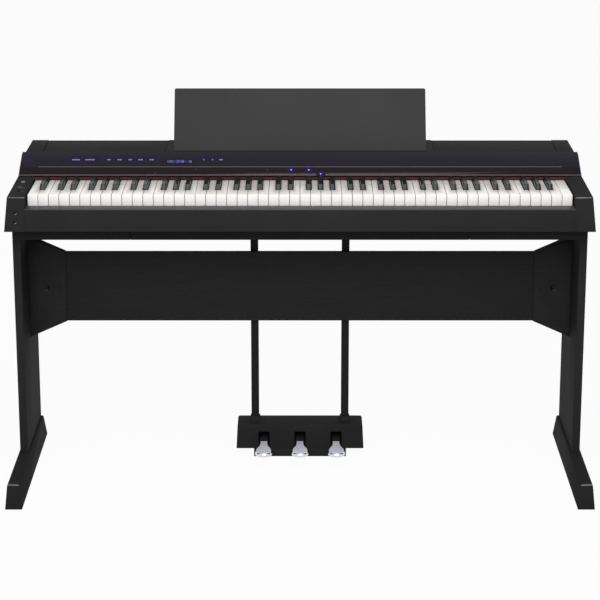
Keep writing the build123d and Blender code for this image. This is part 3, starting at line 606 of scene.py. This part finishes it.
def chromed_rim(tree, place):
    """Chrome left bright round the pedals, polished and stepped on."""
    # A mirror with faint scuffs along the foot's way, drawn 2 mm apart.
    along = add(tree, "Mapping", {"Vector": place, "Scale": (1, 0.08, 1)})
    scuffs = add(tree, "TexNoise", {
        "Vector": along, "Scale": per_metre(2), "Detail": 4,
    })
    rough = add(tree, "MapRange", {"Value": scuffs, "To Min": 0.06, "To Max": 0.2})
    return add(tree, "BsdfPrincipled", {
        "Base Color": solid(colours().chrome),
        "Metallic": 1.0,
        "Roughness": rough,
    })


def plated_steel(tree, place):
    """Zinc-plated steel of the small fasteners."""
    # Dull silver, patchy where the plating was tumbled, in spots about 1 mm across.
    spots = add(tree, "TexNoise", {"Vector": place, "Scale": per_metre(1), "Detail": 4})
    rough = add(tree, "MapRange", {"Value": spots, "To Min": 0.28, "To Max": 0.5})
    return add(tree, "BsdfPrincipled", {
        "Base Color": solid(colours().steel),
        "Metallic": 1.0,
        "Roughness": rough,
    })


def powder_coat(tree, place):
    """Black powder coat baked on the steel posts and brackets."""
    # The powder flows into a pebbled skin, about 1.5 mm across.
    pebble = add(tree, "TexNoise", {"Vector": place, "Scale": per_metre(1.5), "Detail": 1})
    bump = add(tree, "Bump", {"Height": pebble, "Strength": 0.35, "Distance": 0.1 * MM})
    rough = add(tree, "MapRange", {"Value": pebble, "To Min": 0.5, "To Max": 0.65})
    return add(tree, "BsdfPrincipled", {
        "Base Color": solid(colours().case, 0.8),
        "Roughness": rough,
        "Normal": bump,
        "IOR": 1.5,
        "Specular IOR Level": 0.05,
    })


def foot_rubber(tree, place):
    """Black moulded rubber of the pads."""
    # Dusty and dull, with a bloom in patches about 5 mm across.
    bloom = add(tree, "TexNoise", {"Vector": place, "Scale": per_metre(5), "Detail": 4})
    colour = add(tree, "MixRGB", {
        "Fac": bloom,
        "Color1": solid(colours().case, 0.7),
        "Color2": solid(colours().case, 1.2),
    })
    return add(tree, "BsdfPrincipled", {
        "Base Color": colour,
        "Roughness": 0.85,
        "IOR": 1.52,
        "Specular IOR Level": 0.2,
    })


def green_laminate(tree, place):
    """Green solder mask on the circuit boards."""
    # Tracks show through as a faint square mesh, 4 mm apart.
    tracks = add(tree, "TexBrick", {
        "Vector": place,
        "Scale": per_metre(8),
        "Color1": solid(linear("0f3d1c")),
        "Color2": solid(linear("12451f")),
        "Mortar": solid(linear("1d5c2c")),
        "Mortar Size": 0.06,
    })
    return add(tree, "BsdfPrincipled", {
        "Base Color": tracks,
        "Roughness": 0.35,
        "IOR": 1.5,
    })


def moulded_cap(tree, place, shade):
    """A grey moulded cap of a control."""
    # Fine matt grain, drawn 0.8 mm across.
    grain = add(tree, "TexNoise", {"Vector": place, "Scale": per_metre(0.8), "Detail": 2})
    colour = add(tree, "MixRGB", {
        "Fac": grain,
        "Color1": solid(linear(shade), 0.9),
        "Color2": solid(linear(shade), 1.1),
    })
    return add(tree, "BsdfPrincipled", {
        "Base Color": colour,
        "Roughness": 0.55,
        "IOR": 1.5,
        "Specular IOR Level": 0.1,
    })


def button_cap(tree, place):
    """The pale grey cap of the power button."""
    return moulded_cap(tree, place, "74746f")


def slider_cap(tree, place):
    """The dark grey cap of the volume slider."""
    return moulded_cap(tree, place, "474745")


def printed_mark(tree, place):
    """Grey ink printed on the case beside the controls."""
    # Thin ink over the grain: a flat grey, a little worn in patches 2 mm across.
    worn = add(tree, "TexNoise", {"Vector": place, "Scale": per_metre(2), "Detail": 3})
    colour = add(tree, "MixRGB", {
        "Fac": worn,
        "Color1": solid(linear("4e4e4c")),
        "Color2": solid(linear("6a6a68")),
    })
    return add(tree, "BsdfPrincipled", {
        "Base Color": colour,
        "Roughness": 0.6,
        "Specular IOR Level": 0.2,
    })


def lit_glass(tree, place, colour, strength):
    """A lit mark or lens behind the smoked panel."""
    # Light from a diode behind a printed mask; a fine diffuser makes it a little uneven, 0.5 mm across.
    diffuser = add(tree, "TexNoise", {"Vector": place, "Scale": per_metre(0.5), "Detail": 1})
    glow = add(tree, "MixRGB", {
        "Fac": diffuser,
        "Color1": solid(colour, 0.85),
        "Color2": solid(colour, 1.1),
    })
    return add(tree, "BsdfPrincipled", {
        "Base Color": solid(colours().panel),
        "Roughness": 0.15,
        "Specular IOR Level": 0.25,
        "Emission Color": glow,
        "Emission Strength": strength,
    })


def lit_touch_mark(tree, place):
    """A touch mark, dimly lit."""
    return lit_glass(tree, place, colours().mark, 0.75)


def lit_display_mark(tree, place):
    """A digit of the display."""
    return lit_glass(tree, place, linear("8f9cf2"), 0.7)


def lit_lamp_lens(tree, place):
    """A guide lamp's lens, lit."""
    return lit_glass(tree, place, linear("e6e8ff"), 1.0)


def resting_lamp_lens(tree, place):
    """A guide lamp's lens that is barely lit, red."""
    return lit_glass(tree, place, linear("6a0f1c"), 0.5)


def lamp_glow(tree, place, colour, strength):
    """Light that spreads in the smoked sheet round a lit lamp, strongest in the middle."""
    # Read from the disc's own flat map, so that the light falls off evenly round its middle.
    disc = add(tree, "UVMap", uv_map="UVMap")
    centred = add(tree, "Mapping", {
        "Vector": disc, "Location": (-1, -1, 0), "Scale": (2, 2, 0),
    })
    fall = add(tree, "TexGradient", {"Vector": centred}, gradient_type="SPHERICAL")
    soft = add(tree, "Math", {0: fall.outputs["Fac"], 1: 1.6}, operation="POWER")
    light = add(tree, "MixRGB", {
        "Fac": soft, "Color1": (0, 0, 0, 1), "Color2": solid(colour),
    })
    return add(tree, "BsdfPrincipled", {
        "Base Color": solid(colours().strip),
        "Roughness": 0.15,
        "IOR": 1.49,
        "Specular IOR Level": 0.14,
        "Emission Color": light,
        "Emission Strength": strength,
    })


def blue_lamp_glow(tree, place):
    """Blue light round a lit guide lamp."""
    return lamp_glow(tree, place, colours().lamp, 0.32)


def blue_mark_glow(tree, place):
    """Faint blue light round the lit touch marks."""
    return lamp_glow(tree, place, linear("2230a0"), 0.4)


def seen_directly(tree):
    """Whether a ray comes from the camera, a mirror or glass."""
    path = add(tree, "LightPath")
    camera = path.outputs["Is Camera Ray"]
    mirror = add(tree, "Math", {0: camera, 1: path.outputs["Is Glossy Ray"]}, operation="MAXIMUM")
    return add(tree, "Math", {0: mirror, 1: path.outputs["Is Transmission Ray"]}, operation="MAXIMUM")


def white_floor(tree, place):
    """White studio paper on the floor."""
    # Lit so brightly that it shows as plain white, with a little matt paper left to take a soft shadow.
    matt = add(tree, "BsdfDiffuse", {"Color": solid(linear("bcbcbc"))})
    white = add(tree, "Emission", {"Color": (1, 1, 1, 1), "Strength": 1.02})
    shown = add(tree, "Math", {0: seen_directly(tree), 1: 0.93}, operation="MULTIPLY")
    return add(tree, "MixShader", {0: shown, 1: matt, 2: white})


# Operators, one for each group of pieces

class PIANO_OT_case(bpy.types.Operator):
    """Round and paint the moulded case"""

    bl_idname = "piano.case"
    bl_label = "Case"

    def execute(self, context):
        abs_black = finish(moulded_abs)
        for node in (
            "left_end_block", "right_end_block", "key_slip", "centre_cover", "left_speaker_lid",
            "right_speaker_lid", "left_rear_cap", "right_rear_cap", "back_wall", "lower_case", "felt_rail",
        ):
            piece = soften(node, abs_black, sizes().case_round)
            if node.endswith("end_block"):
                # The rounding between an end block's front and its top gets the painted highlight.
                face_finish(piece, finish(painted_highlight_edge), self.at_front_edge)
        soften("key_slip_strip", finish(satin_trim), sizes().metal_round)
        self.seam_seals()
        return {"FINISHED"}

    def seam_seals(self):
        """Foam seals under the seams between the end caps and the lids, so that no light comes through."""
        width = 8 * MM
        thickness = 1.5 * MM
        seals = []
        for side in ("left", "right"):
            lid_low, lid_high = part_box(f"{side}_speaker_lid")
            seam_x = lid_high.x if side == "right" else lid_low.x
            place = Vector((seam_x, (lid_low.y + lid_high.y) / 2, lid_low.z - thickness / 2))
            seals.append(bar(place, (width, lid_high.y - lid_low.y, thickness), (0, 0, 0), thickness / 5))
        dress(joined(seals), "seam_seals", finish(foot_rubber), ROOT)

    def at_front_edge(self, place, normal):
        """Whether a face belongs to the rounding between an end block's front and its top."""
        slip_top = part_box("key_slip_strip")[1].z
        return place.z > slip_top and 0.45 < normal.z < 0.97 and normal.y < -0.2


class PIANO_OT_white_keys(bpy.types.Operator):
    """Round and paint the white keys"""

    bl_idname = "piano.white_keys"
    bl_label = "White keys"

    def execute(self, context):
        for letter in "cdefgab":
            soften(f"keys_{letter}", finish(key_acrylic), sizes().key_round)
        return {"FINISHED"}


class PIANO_OT_black_keys(bpy.types.Operator):
    """Round and paint the black keys"""

    bl_idname = "piano.black_keys"
    bl_label = "Black keys"

    def execute(self, context):
        for letter in "cdfga":
            soften(f"keys_{letter}_sharp", finish(key_ebony_resin), sizes().black_round, 3)
        return {"FINISHED"}


class PIANO_OT_felts(bpy.types.Operator):
    """Make the felt strips"""

    bl_idname = "piano.felts"
    bl_label = "Felts"

    STEPS_ALONG = 260
    STEPS_ACROSS = 4
    TUFT_SIZE = 4 * MM

    def execute(self, context):
        for node in ("key_felt", "key_stop_felt"):
            self.strip(node)
        return {"FINISHED"}

    def strip(self, node):
        """A strip of felt in its CAD box: a fine grid, thickened, rounded and made uneven."""
        low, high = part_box(node)
        size = high - low
        wave = sizes().felt_wave
        bpy.ops.object.select_all(action="DESELECT")
        bpy.ops.mesh.primitive_grid_add(
            x_subdivisions=self.STEPS_ALONG,
            y_subdivisions=self.STEPS_ACROSS,
            size=1,
            location=(low + high) / 2,
        )
        piece = bpy.context.active_object
        upright = size.z > size.y
        across = (size.z if upright else size.y) - 2 * wave
        thickness = (size.y if upright else size.z) - 2 * wave
        piece.scale = (size.x - 2 * wave, across, 1)
        piece.rotation_euler = (pi / 2 if upright else 0, 0, 0)
        bpy.ops.object.transform_apply(location=False, rotation=True, scale=True)
        wall = piece.modifiers.new("wall", "SOLIDIFY")
        wall.thickness = thickness
        wall.offset = 0
        apply_modifiers(piece)
        round_edges(piece, thickness / 4, 2)
        clouds = bpy.data.textures.new(f"{node}_tufts", "CLOUDS")
        clouds.noise_scale = self.TUFT_SIZE
        uneven = piece.modifiers.new("tufts", "DISPLACE")
        uneven.texture = clouds
        uneven.strength = wave
        apply_modifiers(piece)
        dress(piece, f"{node}_strip", finish(wool_felt), NODE_BODY[node])
        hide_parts(node)


class PIANO_OT_panel(bpy.types.Operator):
    """Finish the glossy panel with its lit marks and lamps"""

    bl_idname = "piano.panel"
    bl_label = "Control panel"

    # Touch marks: where they lie along the piano and how wide each is, in millimetres
    MARKS = (
        (-524, 19), (-491, 23), (-447, 9), (-422, 11), (-397, 9),
        (-373, 11), (-347, 11), (-225, 3), (-205, 3), (-185, 9),
    )
    MARK_ALONG = 47.0
    GLOW_SPREAD = 10.0
    DISPLAY_LEFT = -314.0
    DISPLAY_ALONG = 42.0
    DIGITS = "120-048-16"
    DIGIT_PITCH = 6.2
    LIT_LAMPS = ((-20.7, 16.5), (20.4, 16.5), (48.2, 4.5))
    RED_LAMPS = ((-76.0, 16.5), (-76.0, 4.5), (-5.6, 4.5), (-337.0, 6.0), (-243.0, 17.0))

    def execute(self, context):
        sheet = soften("control_panel", finish(smoked_acrylic), sizes().panel_round)
        # The panel's ends and upper edge get the painted highlight.
        face_finish(sheet, finish(sheet_edge_highlight), self.at_sheet_edge)
        trim = soften("panel_edge_trim", finish(pale_trim), sizes().metal_round)
        face_finish(trim, finish(moulded_abs), lambda place, normal: normal.z < 0.3)
        soften("panel_divider", finish(pale_trim), sizes().metal_round / 3)
        self.marks()
        self.digits()
        self.lamps()
        return {"FINISHED"}

    def at_sheet_edge(self, place, normal):
        """Whether a face belongs to the panel's ends or to its upper edge."""
        edge = 2 * sizes().panel_round
        return abs(normal.x) > 0.3 or (place.z > PANEL_TOP_Z - edge and normal.z > 0 and normal.y > -0.5)

    def glow(self, x, along, width, height):
        """A thin film of light on the panel, sizes in metres."""
        lift = sizes().glow_lift
        bpy.ops.object.select_all(action="DESELECT")
        bpy.ops.mesh.primitive_circle_add(
            vertices=48,
            radius=0.5,
            fill_type="NGON",
            location=on_panel(x, along, lift),
            rotation=(PANEL_SLOPE, 0, 0),
        )
        disc = bpy.context.active_object
        disc.scale = (width, height, 1)
        bpy.ops.object.transform_apply(location=False, rotation=False, scale=True)
        film = disc.modifiers.new("film", "SOLIDIFY")
        film.thickness = lift / 2
        apply_modifiers(disc)
        return disc

    def slip(self, x, along, width, height):
        """A thin lit slip lying on the panel, sizes in metres."""
        proud = sizes().mark_proud
        place = on_panel(x, along, sizes().glow_lift + proud / 2)
        return bar(place, (width, height, proud), (PANEL_SLOPE, 0, 0), proud / 3)

    def marks(self):
        """The touch marks: each a row of plain dashes, with a faint light round it."""
        height = sizes().mark_height
        dashes = []
        glows = []
        for middle, width in self.MARKS:
            count = max(1, round(width / 4.5))
            step = width / count
            for index in range(count):
                x = middle - width / 2 + step * (index + 0.5)
                dashes.append(self.slip(x * MM, self.MARK_ALONG * MM, step * 0.75 * MM, height))
            glow_along = self.MARK_ALONG * MM + height * 1.5
            glow_width = (width + self.GLOW_SPREAD) * MM
            glows.append(self.glow(middle * MM, glow_along, glow_width, height * 7))
        display_middle = (self.DISPLAY_LEFT + self.DIGIT_PITCH * len(self.DIGITS) / 2) * MM
        display_width = self.DIGIT_PITCH * (len(self.DIGITS) + 2) * MM
        glows.append(self.glow(display_middle, self.DISPLAY_ALONG * MM, display_width, height * 8))
        dress(joined(dashes), "touch_marks", finish(lit_touch_mark), ROOT)
        dress(joined(glows), "mark_glows", finish(blue_mark_glow), ROOT)

    def digits(self):
        """Plain numbers in the display, each of seven strokes."""
        tall = 6.0 * MM
        wide = 3.6 * MM
        stroke = 0.8 * MM
        strokes = {
            "top": (0, tall / 2, wide, stroke),
            "middle": (0, 0, wide, stroke),
            "foot": (0, -tall / 2, wide, stroke),
            "left_high": (-wide / 2, tall / 4, stroke, tall / 2),
            "left_low": (-wide / 2, -tall / 4, stroke, tall / 2),
            "right_high": (wide / 2, tall / 4, stroke, tall / 2),
            "right_low": (wide / 2, -tall / 4, stroke, tall / 2),
        }
        dark = {
            "0": ("middle",),
            "1": ("top", "middle", "foot", "left_high", "left_low"),
            "2": ("left_high", "right_low"),
            "4": ("top", "foot", "left_low"),
            "6": ("right_high",),
            "8": (),
            "-": ("top", "foot", "left_high", "left_low", "right_high", "right_low"),
        }
        slips = []
        for index, digit in enumerate(self.DIGITS):
            x = (self.DISPLAY_LEFT + self.DIGIT_PITCH * (index + 0.5)) * MM
            for name, (dx, dy, width, height) in strokes.items():
                if name not in dark[digit]:
                    slips.append(self.slip(x + dx, self.DISPLAY_ALONG * MM + dy, width, height))
        dress(joined(slips), "display_digits", finish(lit_display_mark), ROOT)

    def lens(self, x, along, proud, radius):
        """A low domed lens on the panel."""
        height = 0.3 * MM
        place = on_panel(x * MM, along * MM, proud)
        return button_disc(place, radius, height, (PANEL_SLOPE, 0, 0), height * 0.4, 16)

    def lamps(self):
        """The guide lamps above the keys, some lit, with the light round them."""
        radius = sizes().lamp_radius
        lift = sizes().glow_lift
        wide = 2 * sizes().glow_radius
        glows = [self.glow(x * MM, along * MM, wide, wide) for x, along in self.LIT_LAMPS]
        dress(joined(glows), "lamp_glows", finish(blue_lamp_glow), ROOT)
        lit = [self.lens(x, along, lift * 2, radius) for x, along in self.LIT_LAMPS]
        dress(joined(lit), "lit_lamps", finish(lit_lamp_lens), ROOT)
        resting = [self.lens(x, along, lift, radius * 1.6) for x, along in self.RED_LAMPS]
        dress(joined(resting), "resting_lamps", finish(resting_lamp_lens), ROOT)


class PIANO_OT_music_rest(bpy.types.Operator):
    """Round and paint the music rest"""

    bl_idname = "piano.music_rest"
    bl_label = "Music rest"

    def execute(self, context):
        soften("music_rest", finish(painted_rest), sizes().case_round)
        return {"FINISHED"}


class PIANO_OT_controls(bpy.types.Operator):
    """Finish the power button, the slider and the headphone sockets"""

    bl_idname = "piano.controls"
    bl_label = "Controls and sockets"

    def execute(self, context):
        soften("power_button", finish(button_cap), sizes().metal_round * 2)
        soften("volume_slider", finish(slider_cap), sizes().metal_round * 2)
        soften("headphone_sockets", finish(black_nylon), sizes().metal_round)
        for name in ("headphone_lower", "headphone_upper"):
            self.socket_ring(name)
        self.slider_scale()
        return {"FINISHED"}

    def ring(self, mount, radius, wire):
        """A round ring in a socket's mouth, about its bore."""
        outward = Vector(mount["axis"])
        bpy.ops.object.select_all(action="DESELECT")
        bpy.ops.mesh.primitive_torus_add(
            major_segments=40,
            minor_segments=10,
            major_radius=radius,
            minor_radius=wire,
            location=Vector(mount["pos_m"]) - outward * wire * 0.5,
            rotation=outward.to_track_quat("Z", "Y").to_euler(),
        )
        bpy.ops.object.transform_apply(location=True, rotation=True, scale=True)
        return bpy.context.active_object

    def socket_ring(self, name):
        """The broad nylon lip of a headphone socket, and a plated contact left only at its lower right,
        where it stands in for a highlight.
        """
        mount = MOUNTS[name]
        bore = mount["dims"]["r_mm"] * MM
        lip_wire = 1.2 * MM
        wire = 0.5 * MM
        lip = self.ring(mount, bore + lip_wire, lip_wire)
        dress(lip, f"{name}_lip", finish(black_nylon), ROOT)
        # The contact is kept only in the lower right quarter, so that its bright plating puts a painted
        # highlight there.
        highlight_contact = self.ring(mount, bore - wire / 2, wire)
        middle = Vector(mount["pos_m"])
        right_and_down = Vector((1, 0, -1)).normalized()
        select_faces(highlight_contact, lambda place, normal: (place - middle).normalized().dot(right_and_down) < 0.6)
        bpy.ops.mesh.delete(type="FACE")
        bpy.ops.mesh.select_all(action="SELECT")
        bpy.ops.mesh.fill_holes(sides=0)
        bpy.ops.object.mode_set(mode="OBJECT")
        dress(highlight_contact, f"{name}_contact", finish(plated_steel), ROOT)

    def slider_scale(self):
        """Two short printed lines beside the slider's slot."""
        low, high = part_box("volume_slider")
        cap_height = 4.5 * MM
        clearance = 0.3 * MM
        block_top = high.z - cap_height - clearance
        line_size = (5 * MM, 1.6 * MM, 0.6 * MM)
        line_round = 0.1 * MM
        from_slot = 9 * MM
        lines = []
        for offset in (-24 * MM, 4 * MM):
            place = Vector(((low.x + high.x) / 2 + from_slot, (low.y + high.y) / 2 + offset, block_top))
            lines.append(bar(place, line_size, (0, 0, 0), line_round))
        dress(joined(lines), "slider_marks", finish(printed_mark), ROOT)


class PIANO_OT_stand(bpy.types.Operator):
    """Round and paint the stand"""

    bl_idname = "piano.stand"
    bl_label = "Stand"

    def execute(self, context):
        radius = sizes().board_round
        for side in ("left", "right"):
            soften(f"{side}_leg", finish(faced_board_upright), radius)
            # The feet get a darkened copy of the board: painted shade.
            foot = soften(f"{side}_foot", finish(faced_board_deep_painted_shade), radius)
            # The bevel between a foot's front and its top gets the painted highlight.
            face_finish(foot, finish(painted_highlight_edge), self.at_front_edge)
            soften(f"{side}_support", finish(faced_board_across), radius)
            soften(f"{side}_wing", finish(faced_board_across), radius)
        soften("back_board", finish(faced_board_across), radius)
        soften("foot_pads", finish(foot_rubber), sizes().case_round)
        soften("corner_brackets", finish(powder_coat), sizes().metal_round)
        return {"FINISHED"}

    def at_front_edge(self, place, normal):
        """Whether a face belongs to the bevel between a foot's front and its top."""
        return 0.55 < normal.z < 0.97 and normal.y < -0.2


class PIANO_OT_fasteners(bpy.types.Operator):
    """Finish the bolts and add the case screws"""

    bl_idname = "piano.fasteners"
    bl_label = "Fasteners"

    BACK_SCREWS = 8
    WING_SCREW_X = 0.562

    def execute(self, context):
        self.wing_fasteners()
        soften("knob_bolts", finish(moulded_abs), sizes().metal_round)
        paint("leg_bolts", finish(plated_steel))
        self.back_screws()
        return {"FINISHED"}

    def wing_fasteners(self):
        """The cams, dished and cut with a cross, and the screws beside them."""
        piece = soften("wing_fasteners", finish(black_nylon), sizes().metal_round)
        low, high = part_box("wing_fasteners")
        radius = (high.z - low.z) / 2
        level = (high.z + low.z) / 2
        cam_x = high.x - radius
        dish = 0.9 * MM
        recess_depth = 1.5 * MM
        head_height = 1.2 * MM

        def on_cam(place, normal):
            return normal.y < -0.99 and abs(place.x) > cam_x - radius / 2

        select_faces(piece, on_cam)
        bpy.ops.mesh.inset(thickness=radius * 0.16)
        bpy.ops.transform.translate(value=(0, dish, 0))
        bpy.ops.object.mode_set(mode="OBJECT")
        heads = []
        to_player = (pi / 2, 0, 0)
        for side in (-1, 1):
            cam_middle = Vector((side * cam_x, low.y + dish, level))
            cut_cross(piece, cam_middle, radius * 0.7, recess_depth, to_player)
            place = Vector((side * self.WING_SCREW_X, low.y, level))
            heads.append(screw_head(place, sizes().screw_radius, head_height, to_player))
        dress(joined(heads), "wing_screw_heads", finish(black_nylon), ROOT)

    def back_screws(self):
        """A row of screws along the foot of the back wall."""
        low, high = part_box("back_wall")
        height = 1.6 * MM
        margin = 40 * MM
        heads = []
        for index in range(self.BACK_SCREWS):
            share = index / (self.BACK_SCREWS - 1)
            x = low.x + margin + share * (high.x - low.x - 2 * margin)
            place = Vector((x, high.y - height / 4, low.z + margin / 4))
            heads.append(screw_head(place, sizes().screw_radius, height, (-pi / 2, 0, 0)))
        dress(joined(heads), "back_screws", finish(plated_steel), ROOT)


class PIANO_OT_pedals(bpy.types.Operator):
    """Polish the pedals"""

    bl_idname = "piano.pedals"
    bl_label = "Pedals"

    # Length of neck in front of the housing that is painted black as shade
    PAINTED_SHADE_NECK = 10 * MM

    def execute(self, context):
        for place in ("left", "middle", "right"):
            pedal = soften(f"{place}_pedal", finish(chromed_rim), sizes().pedal_round)
            self.part_neck(pedal)
            face_finish(pedal, finish(silver_lacquer), lambda place, normal: normal.z > 0.97)
            # Black powder coat on the neck, inside and just before the housing: painted shade.
            face_finish(pedal, finish(powder_coat), lambda place, normal: place.y > self.painted_shade_start())
        return {"FINISHED"}

    def painted_shade_start(self):
        """Where the bright pad ends and the neck painted black as shade starts, a little before the housing.
        """
        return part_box("pedal_box")[0].y - self.PAINTED_SHADE_NECK

    def part_neck(self, pedal):
        """Cut the pedal's faces where its neck starts, so that the neck can be painted black as shade."""
        pick(pedal)
        bpy.ops.object.mode_set(mode="EDIT")
        bpy.ops.mesh.select_all(action="SELECT")
        bpy.ops.mesh.bisect(plane_co=(0, self.painted_shade_start(), 0), plane_no=(0, 1, 0))
        bpy.ops.object.mode_set(mode="OBJECT")


class PIANO_OT_pedal_unit(bpy.types.Operator):
    """Round and paint the pedal housing and its posts"""

    bl_idname = "piano.pedal_unit"
    bl_label = "Pedal unit"

    def execute(self, context):
        for node in ("pedal_box", "pedal_base", "post_collars"):
            soften(node, finish(moulded_abs), sizes().case_round)
        soften("pedal_posts", finish(powder_coat), sizes().case_round)
        paint("pedal_axle", finish(plated_steel))
        self.housing_floor()
        return {"FINISHED"}

    def housing_floor(self):
        """Plates let into the housing's walls, which close its underside on both sides of the base."""
        thickness = 1.5 * MM
        lift = 0.3 * MM
        seat = 2 * MM
        low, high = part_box("pedal_box")
        inner_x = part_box("pedal_base")[1].x - seat
        outer_x = high.x - seat
        size = (outer_x - inner_x, high.y - low.y - 2 * seat, thickness)
        level = low.z + lift + thickness / 2
        plates = []
        for side in (-1, 1):
            place = Vector((side * (inner_x + outer_x) / 2, (low.y + high.y) / 2, level))
            plates.append(bar(place, size, (0, 0, 0), thickness / 5))
        dress(joined(plates), "housing_floor", finish(moulded_abs), ROOT)


class PIANO_OT_inside(bpy.types.Operator):
    """Paint the pieces inside and the sockets at the back"""

    bl_idname = "piano.inside"
    bl_label = "Inside and rear sockets"

    # How far an opening's box stays clear of its socket's floor
    OPENING_MARGIN = 0.5 * MM

    def execute(self, context):
        paint("key_chassis", finish(powder_coat))
        paint("circuit_boards", finish(green_laminate))
        soften("socket_plate", finish(moulded_abs), sizes().metal_round)
        for side in ("left", "right"):
            paint(f"{side}_speaker", finish(powder_coat))
        self.contacts()
        return {"FINISHED"}

    def contacts(self):
        """The plated tongue in each rear socket."""
        length = 7 * MM
        thickness = 1.4 * MM
        width_share = 0.45
        tongues = []
        for opening in frame["record"]["physics"]["openings"]:
            if not opening["name"].endswith(("socket", "inlet")):
                continue
            low, high = (Vector(corner) for corner in opening["box_m"])
            middle = (low + high) / 2
            socket_floor = low.y - self.OPENING_MARGIN
            place = Vector((middle.x, socket_floor + length / 2, middle.z))
            size = ((high.x - low.x) * width_share, length, thickness)
            tongues.append(bar(place, size, (0, 0, 0), 0.2 * MM))
        dress(joined(tongues), "socket_contacts", finish(plated_steel), ROOT)


class PIANO_OT_stage(bpy.types.Operator):
    """Set the floor, the light and the camera"""

    bl_idname = "piano.stage"
    bl_label = "Stage"

    CAMERA_PLACE = (0, -4.4538, 1.8051)
    CAMERA_PITCH = 0.2591
    CAMERA_LENS = 120.76
    CAMERA_SHIFT = -0.15
    AMBIENT = 0.36
    FLOOR_SIDE = 60
    # Lamps: name, power in watts, side in metres, place, and the point it faces
    LAMPS = (
        ("front_softbox", 168, 3.0, (-0.3, -4.4, 3.2), (0, 0, 0.5)),
        ("high_softbox", 66, 2.0, (0.4, -2.0, 4.2), (0, 0, 0.5)),
    )

    def execute(self, context):
        self.floor()
        self.world(context)
        for name, power, side, place, target in self.LAMPS:
            light = bpy.data.lights.new(name, "AREA")
            light.energy = power
            light.size = side
            lamp = bpy.data.objects.new(name, light)
            lamp.location = place
            lamp.rotation_euler = (Vector(target) - Vector(place)).to_track_quat("-Z", "Y").to_euler()
            context.scene.collection.objects.link(lamp)
        self.camera(context)
        context.scene.view_settings.view_transform = "Standard"
        return {"FINISHED"}

    def floor(self):
        """A wide white floor that keeps a soft shadow."""
        bpy.ops.object.select_all(action="DESELECT")
        bpy.ops.mesh.primitive_plane_add(size=self.FLOOR_SIDE, location=(0, 0, 0))
        floor = bpy.context.active_object
        floor.name = "floor"
        floor.data.materials.append(finish(white_floor))

    def world(self, context):
        """Even soft light, with plain white where it is seen."""
        world = bpy.data.worlds.new("studio")
        world.use_nodes = True
        tree = world.node_tree
        tree.nodes.clear()
        strength = add(tree, "MapRange", {
            "Value": seen_directly(tree), "To Min": self.AMBIENT, "To Max": 1.0,
        })
        sky = add(tree, "Background", {"Color": (1, 1, 1, 1), "Strength": strength})
        add(tree, "OutputWorld", {"Surface": sky})
        context.scene.world = world

    def camera(self, context):
        """A long lens at a standing player's distance, a little above the keys."""
        lens = bpy.data.cameras.new("camera")
        lens.lens = self.CAMERA_LENS
        lens.shift_y = self.CAMERA_SHIFT
        camera = bpy.data.objects.new("camera", lens)
        camera.location = self.CAMERA_PLACE
        camera.rotation_euler = (pi / 2 - self.CAMERA_PITCH, 0, 0)
        context.scene.collection.objects.link(camera)
        context.scene.camera = camera


OPERATORS = (
    PIANO_OT_case,
    PIANO_OT_white_keys,
    PIANO_OT_black_keys,
    PIANO_OT_felts,
    PIANO_OT_panel,
    PIANO_OT_music_rest,
    PIANO_OT_controls,
    PIANO_OT_stand,
    PIANO_OT_fasteners,
    PIANO_OT_pedals,
    PIANO_OT_pedal_unit,
    PIANO_OT_inside,
    PIANO_OT_stage,
)


class PIANO_PT_finishes(bpy.types.Panel):
    """Lists the pieces of the piano"""

    bl_idname = "PIANO_PT_finishes"
    bl_label = "Digital piano"
    bl_space_type = "VIEW_3D"
    bl_region_type = "UI"
    bl_category = "Piano"

    def draw(self, context):
        for operator in OPERATORS:
            self.layout.operator(operator.bl_idname)
        for group in (context.scene.piano_sizes, context.scene.piano_colours):
            for name in group.__annotations__:
                self.layout.prop(group, name)


CLASSES = (PianoSizes, PianoColours, *OPERATORS, PIANO_PT_finishes)


def register():
    """Add the classes and the settings."""
    for item in CLASSES:
        bpy.utils.register_class(item)
    bpy.types.Scene.piano_sizes = PointerProperty(type=PianoSizes)
    bpy.types.Scene.piano_colours = PointerProperty(type=PianoColours)


def unregister():
    """Take the settings and the classes away."""
    del bpy.types.Scene.piano_colours
    del bpy.types.Scene.piano_sizes
    for item in reversed(CLASSES):
        bpy.utils.unregister_class(item)


def main():
    """Make every piece."""
    register()
    for operator in OPERATORS:
        group, name = operator.bl_idname.split(".")
        getattr(getattr(bpy.ops, group), name)()


if __name__ == "__main__":
    main()
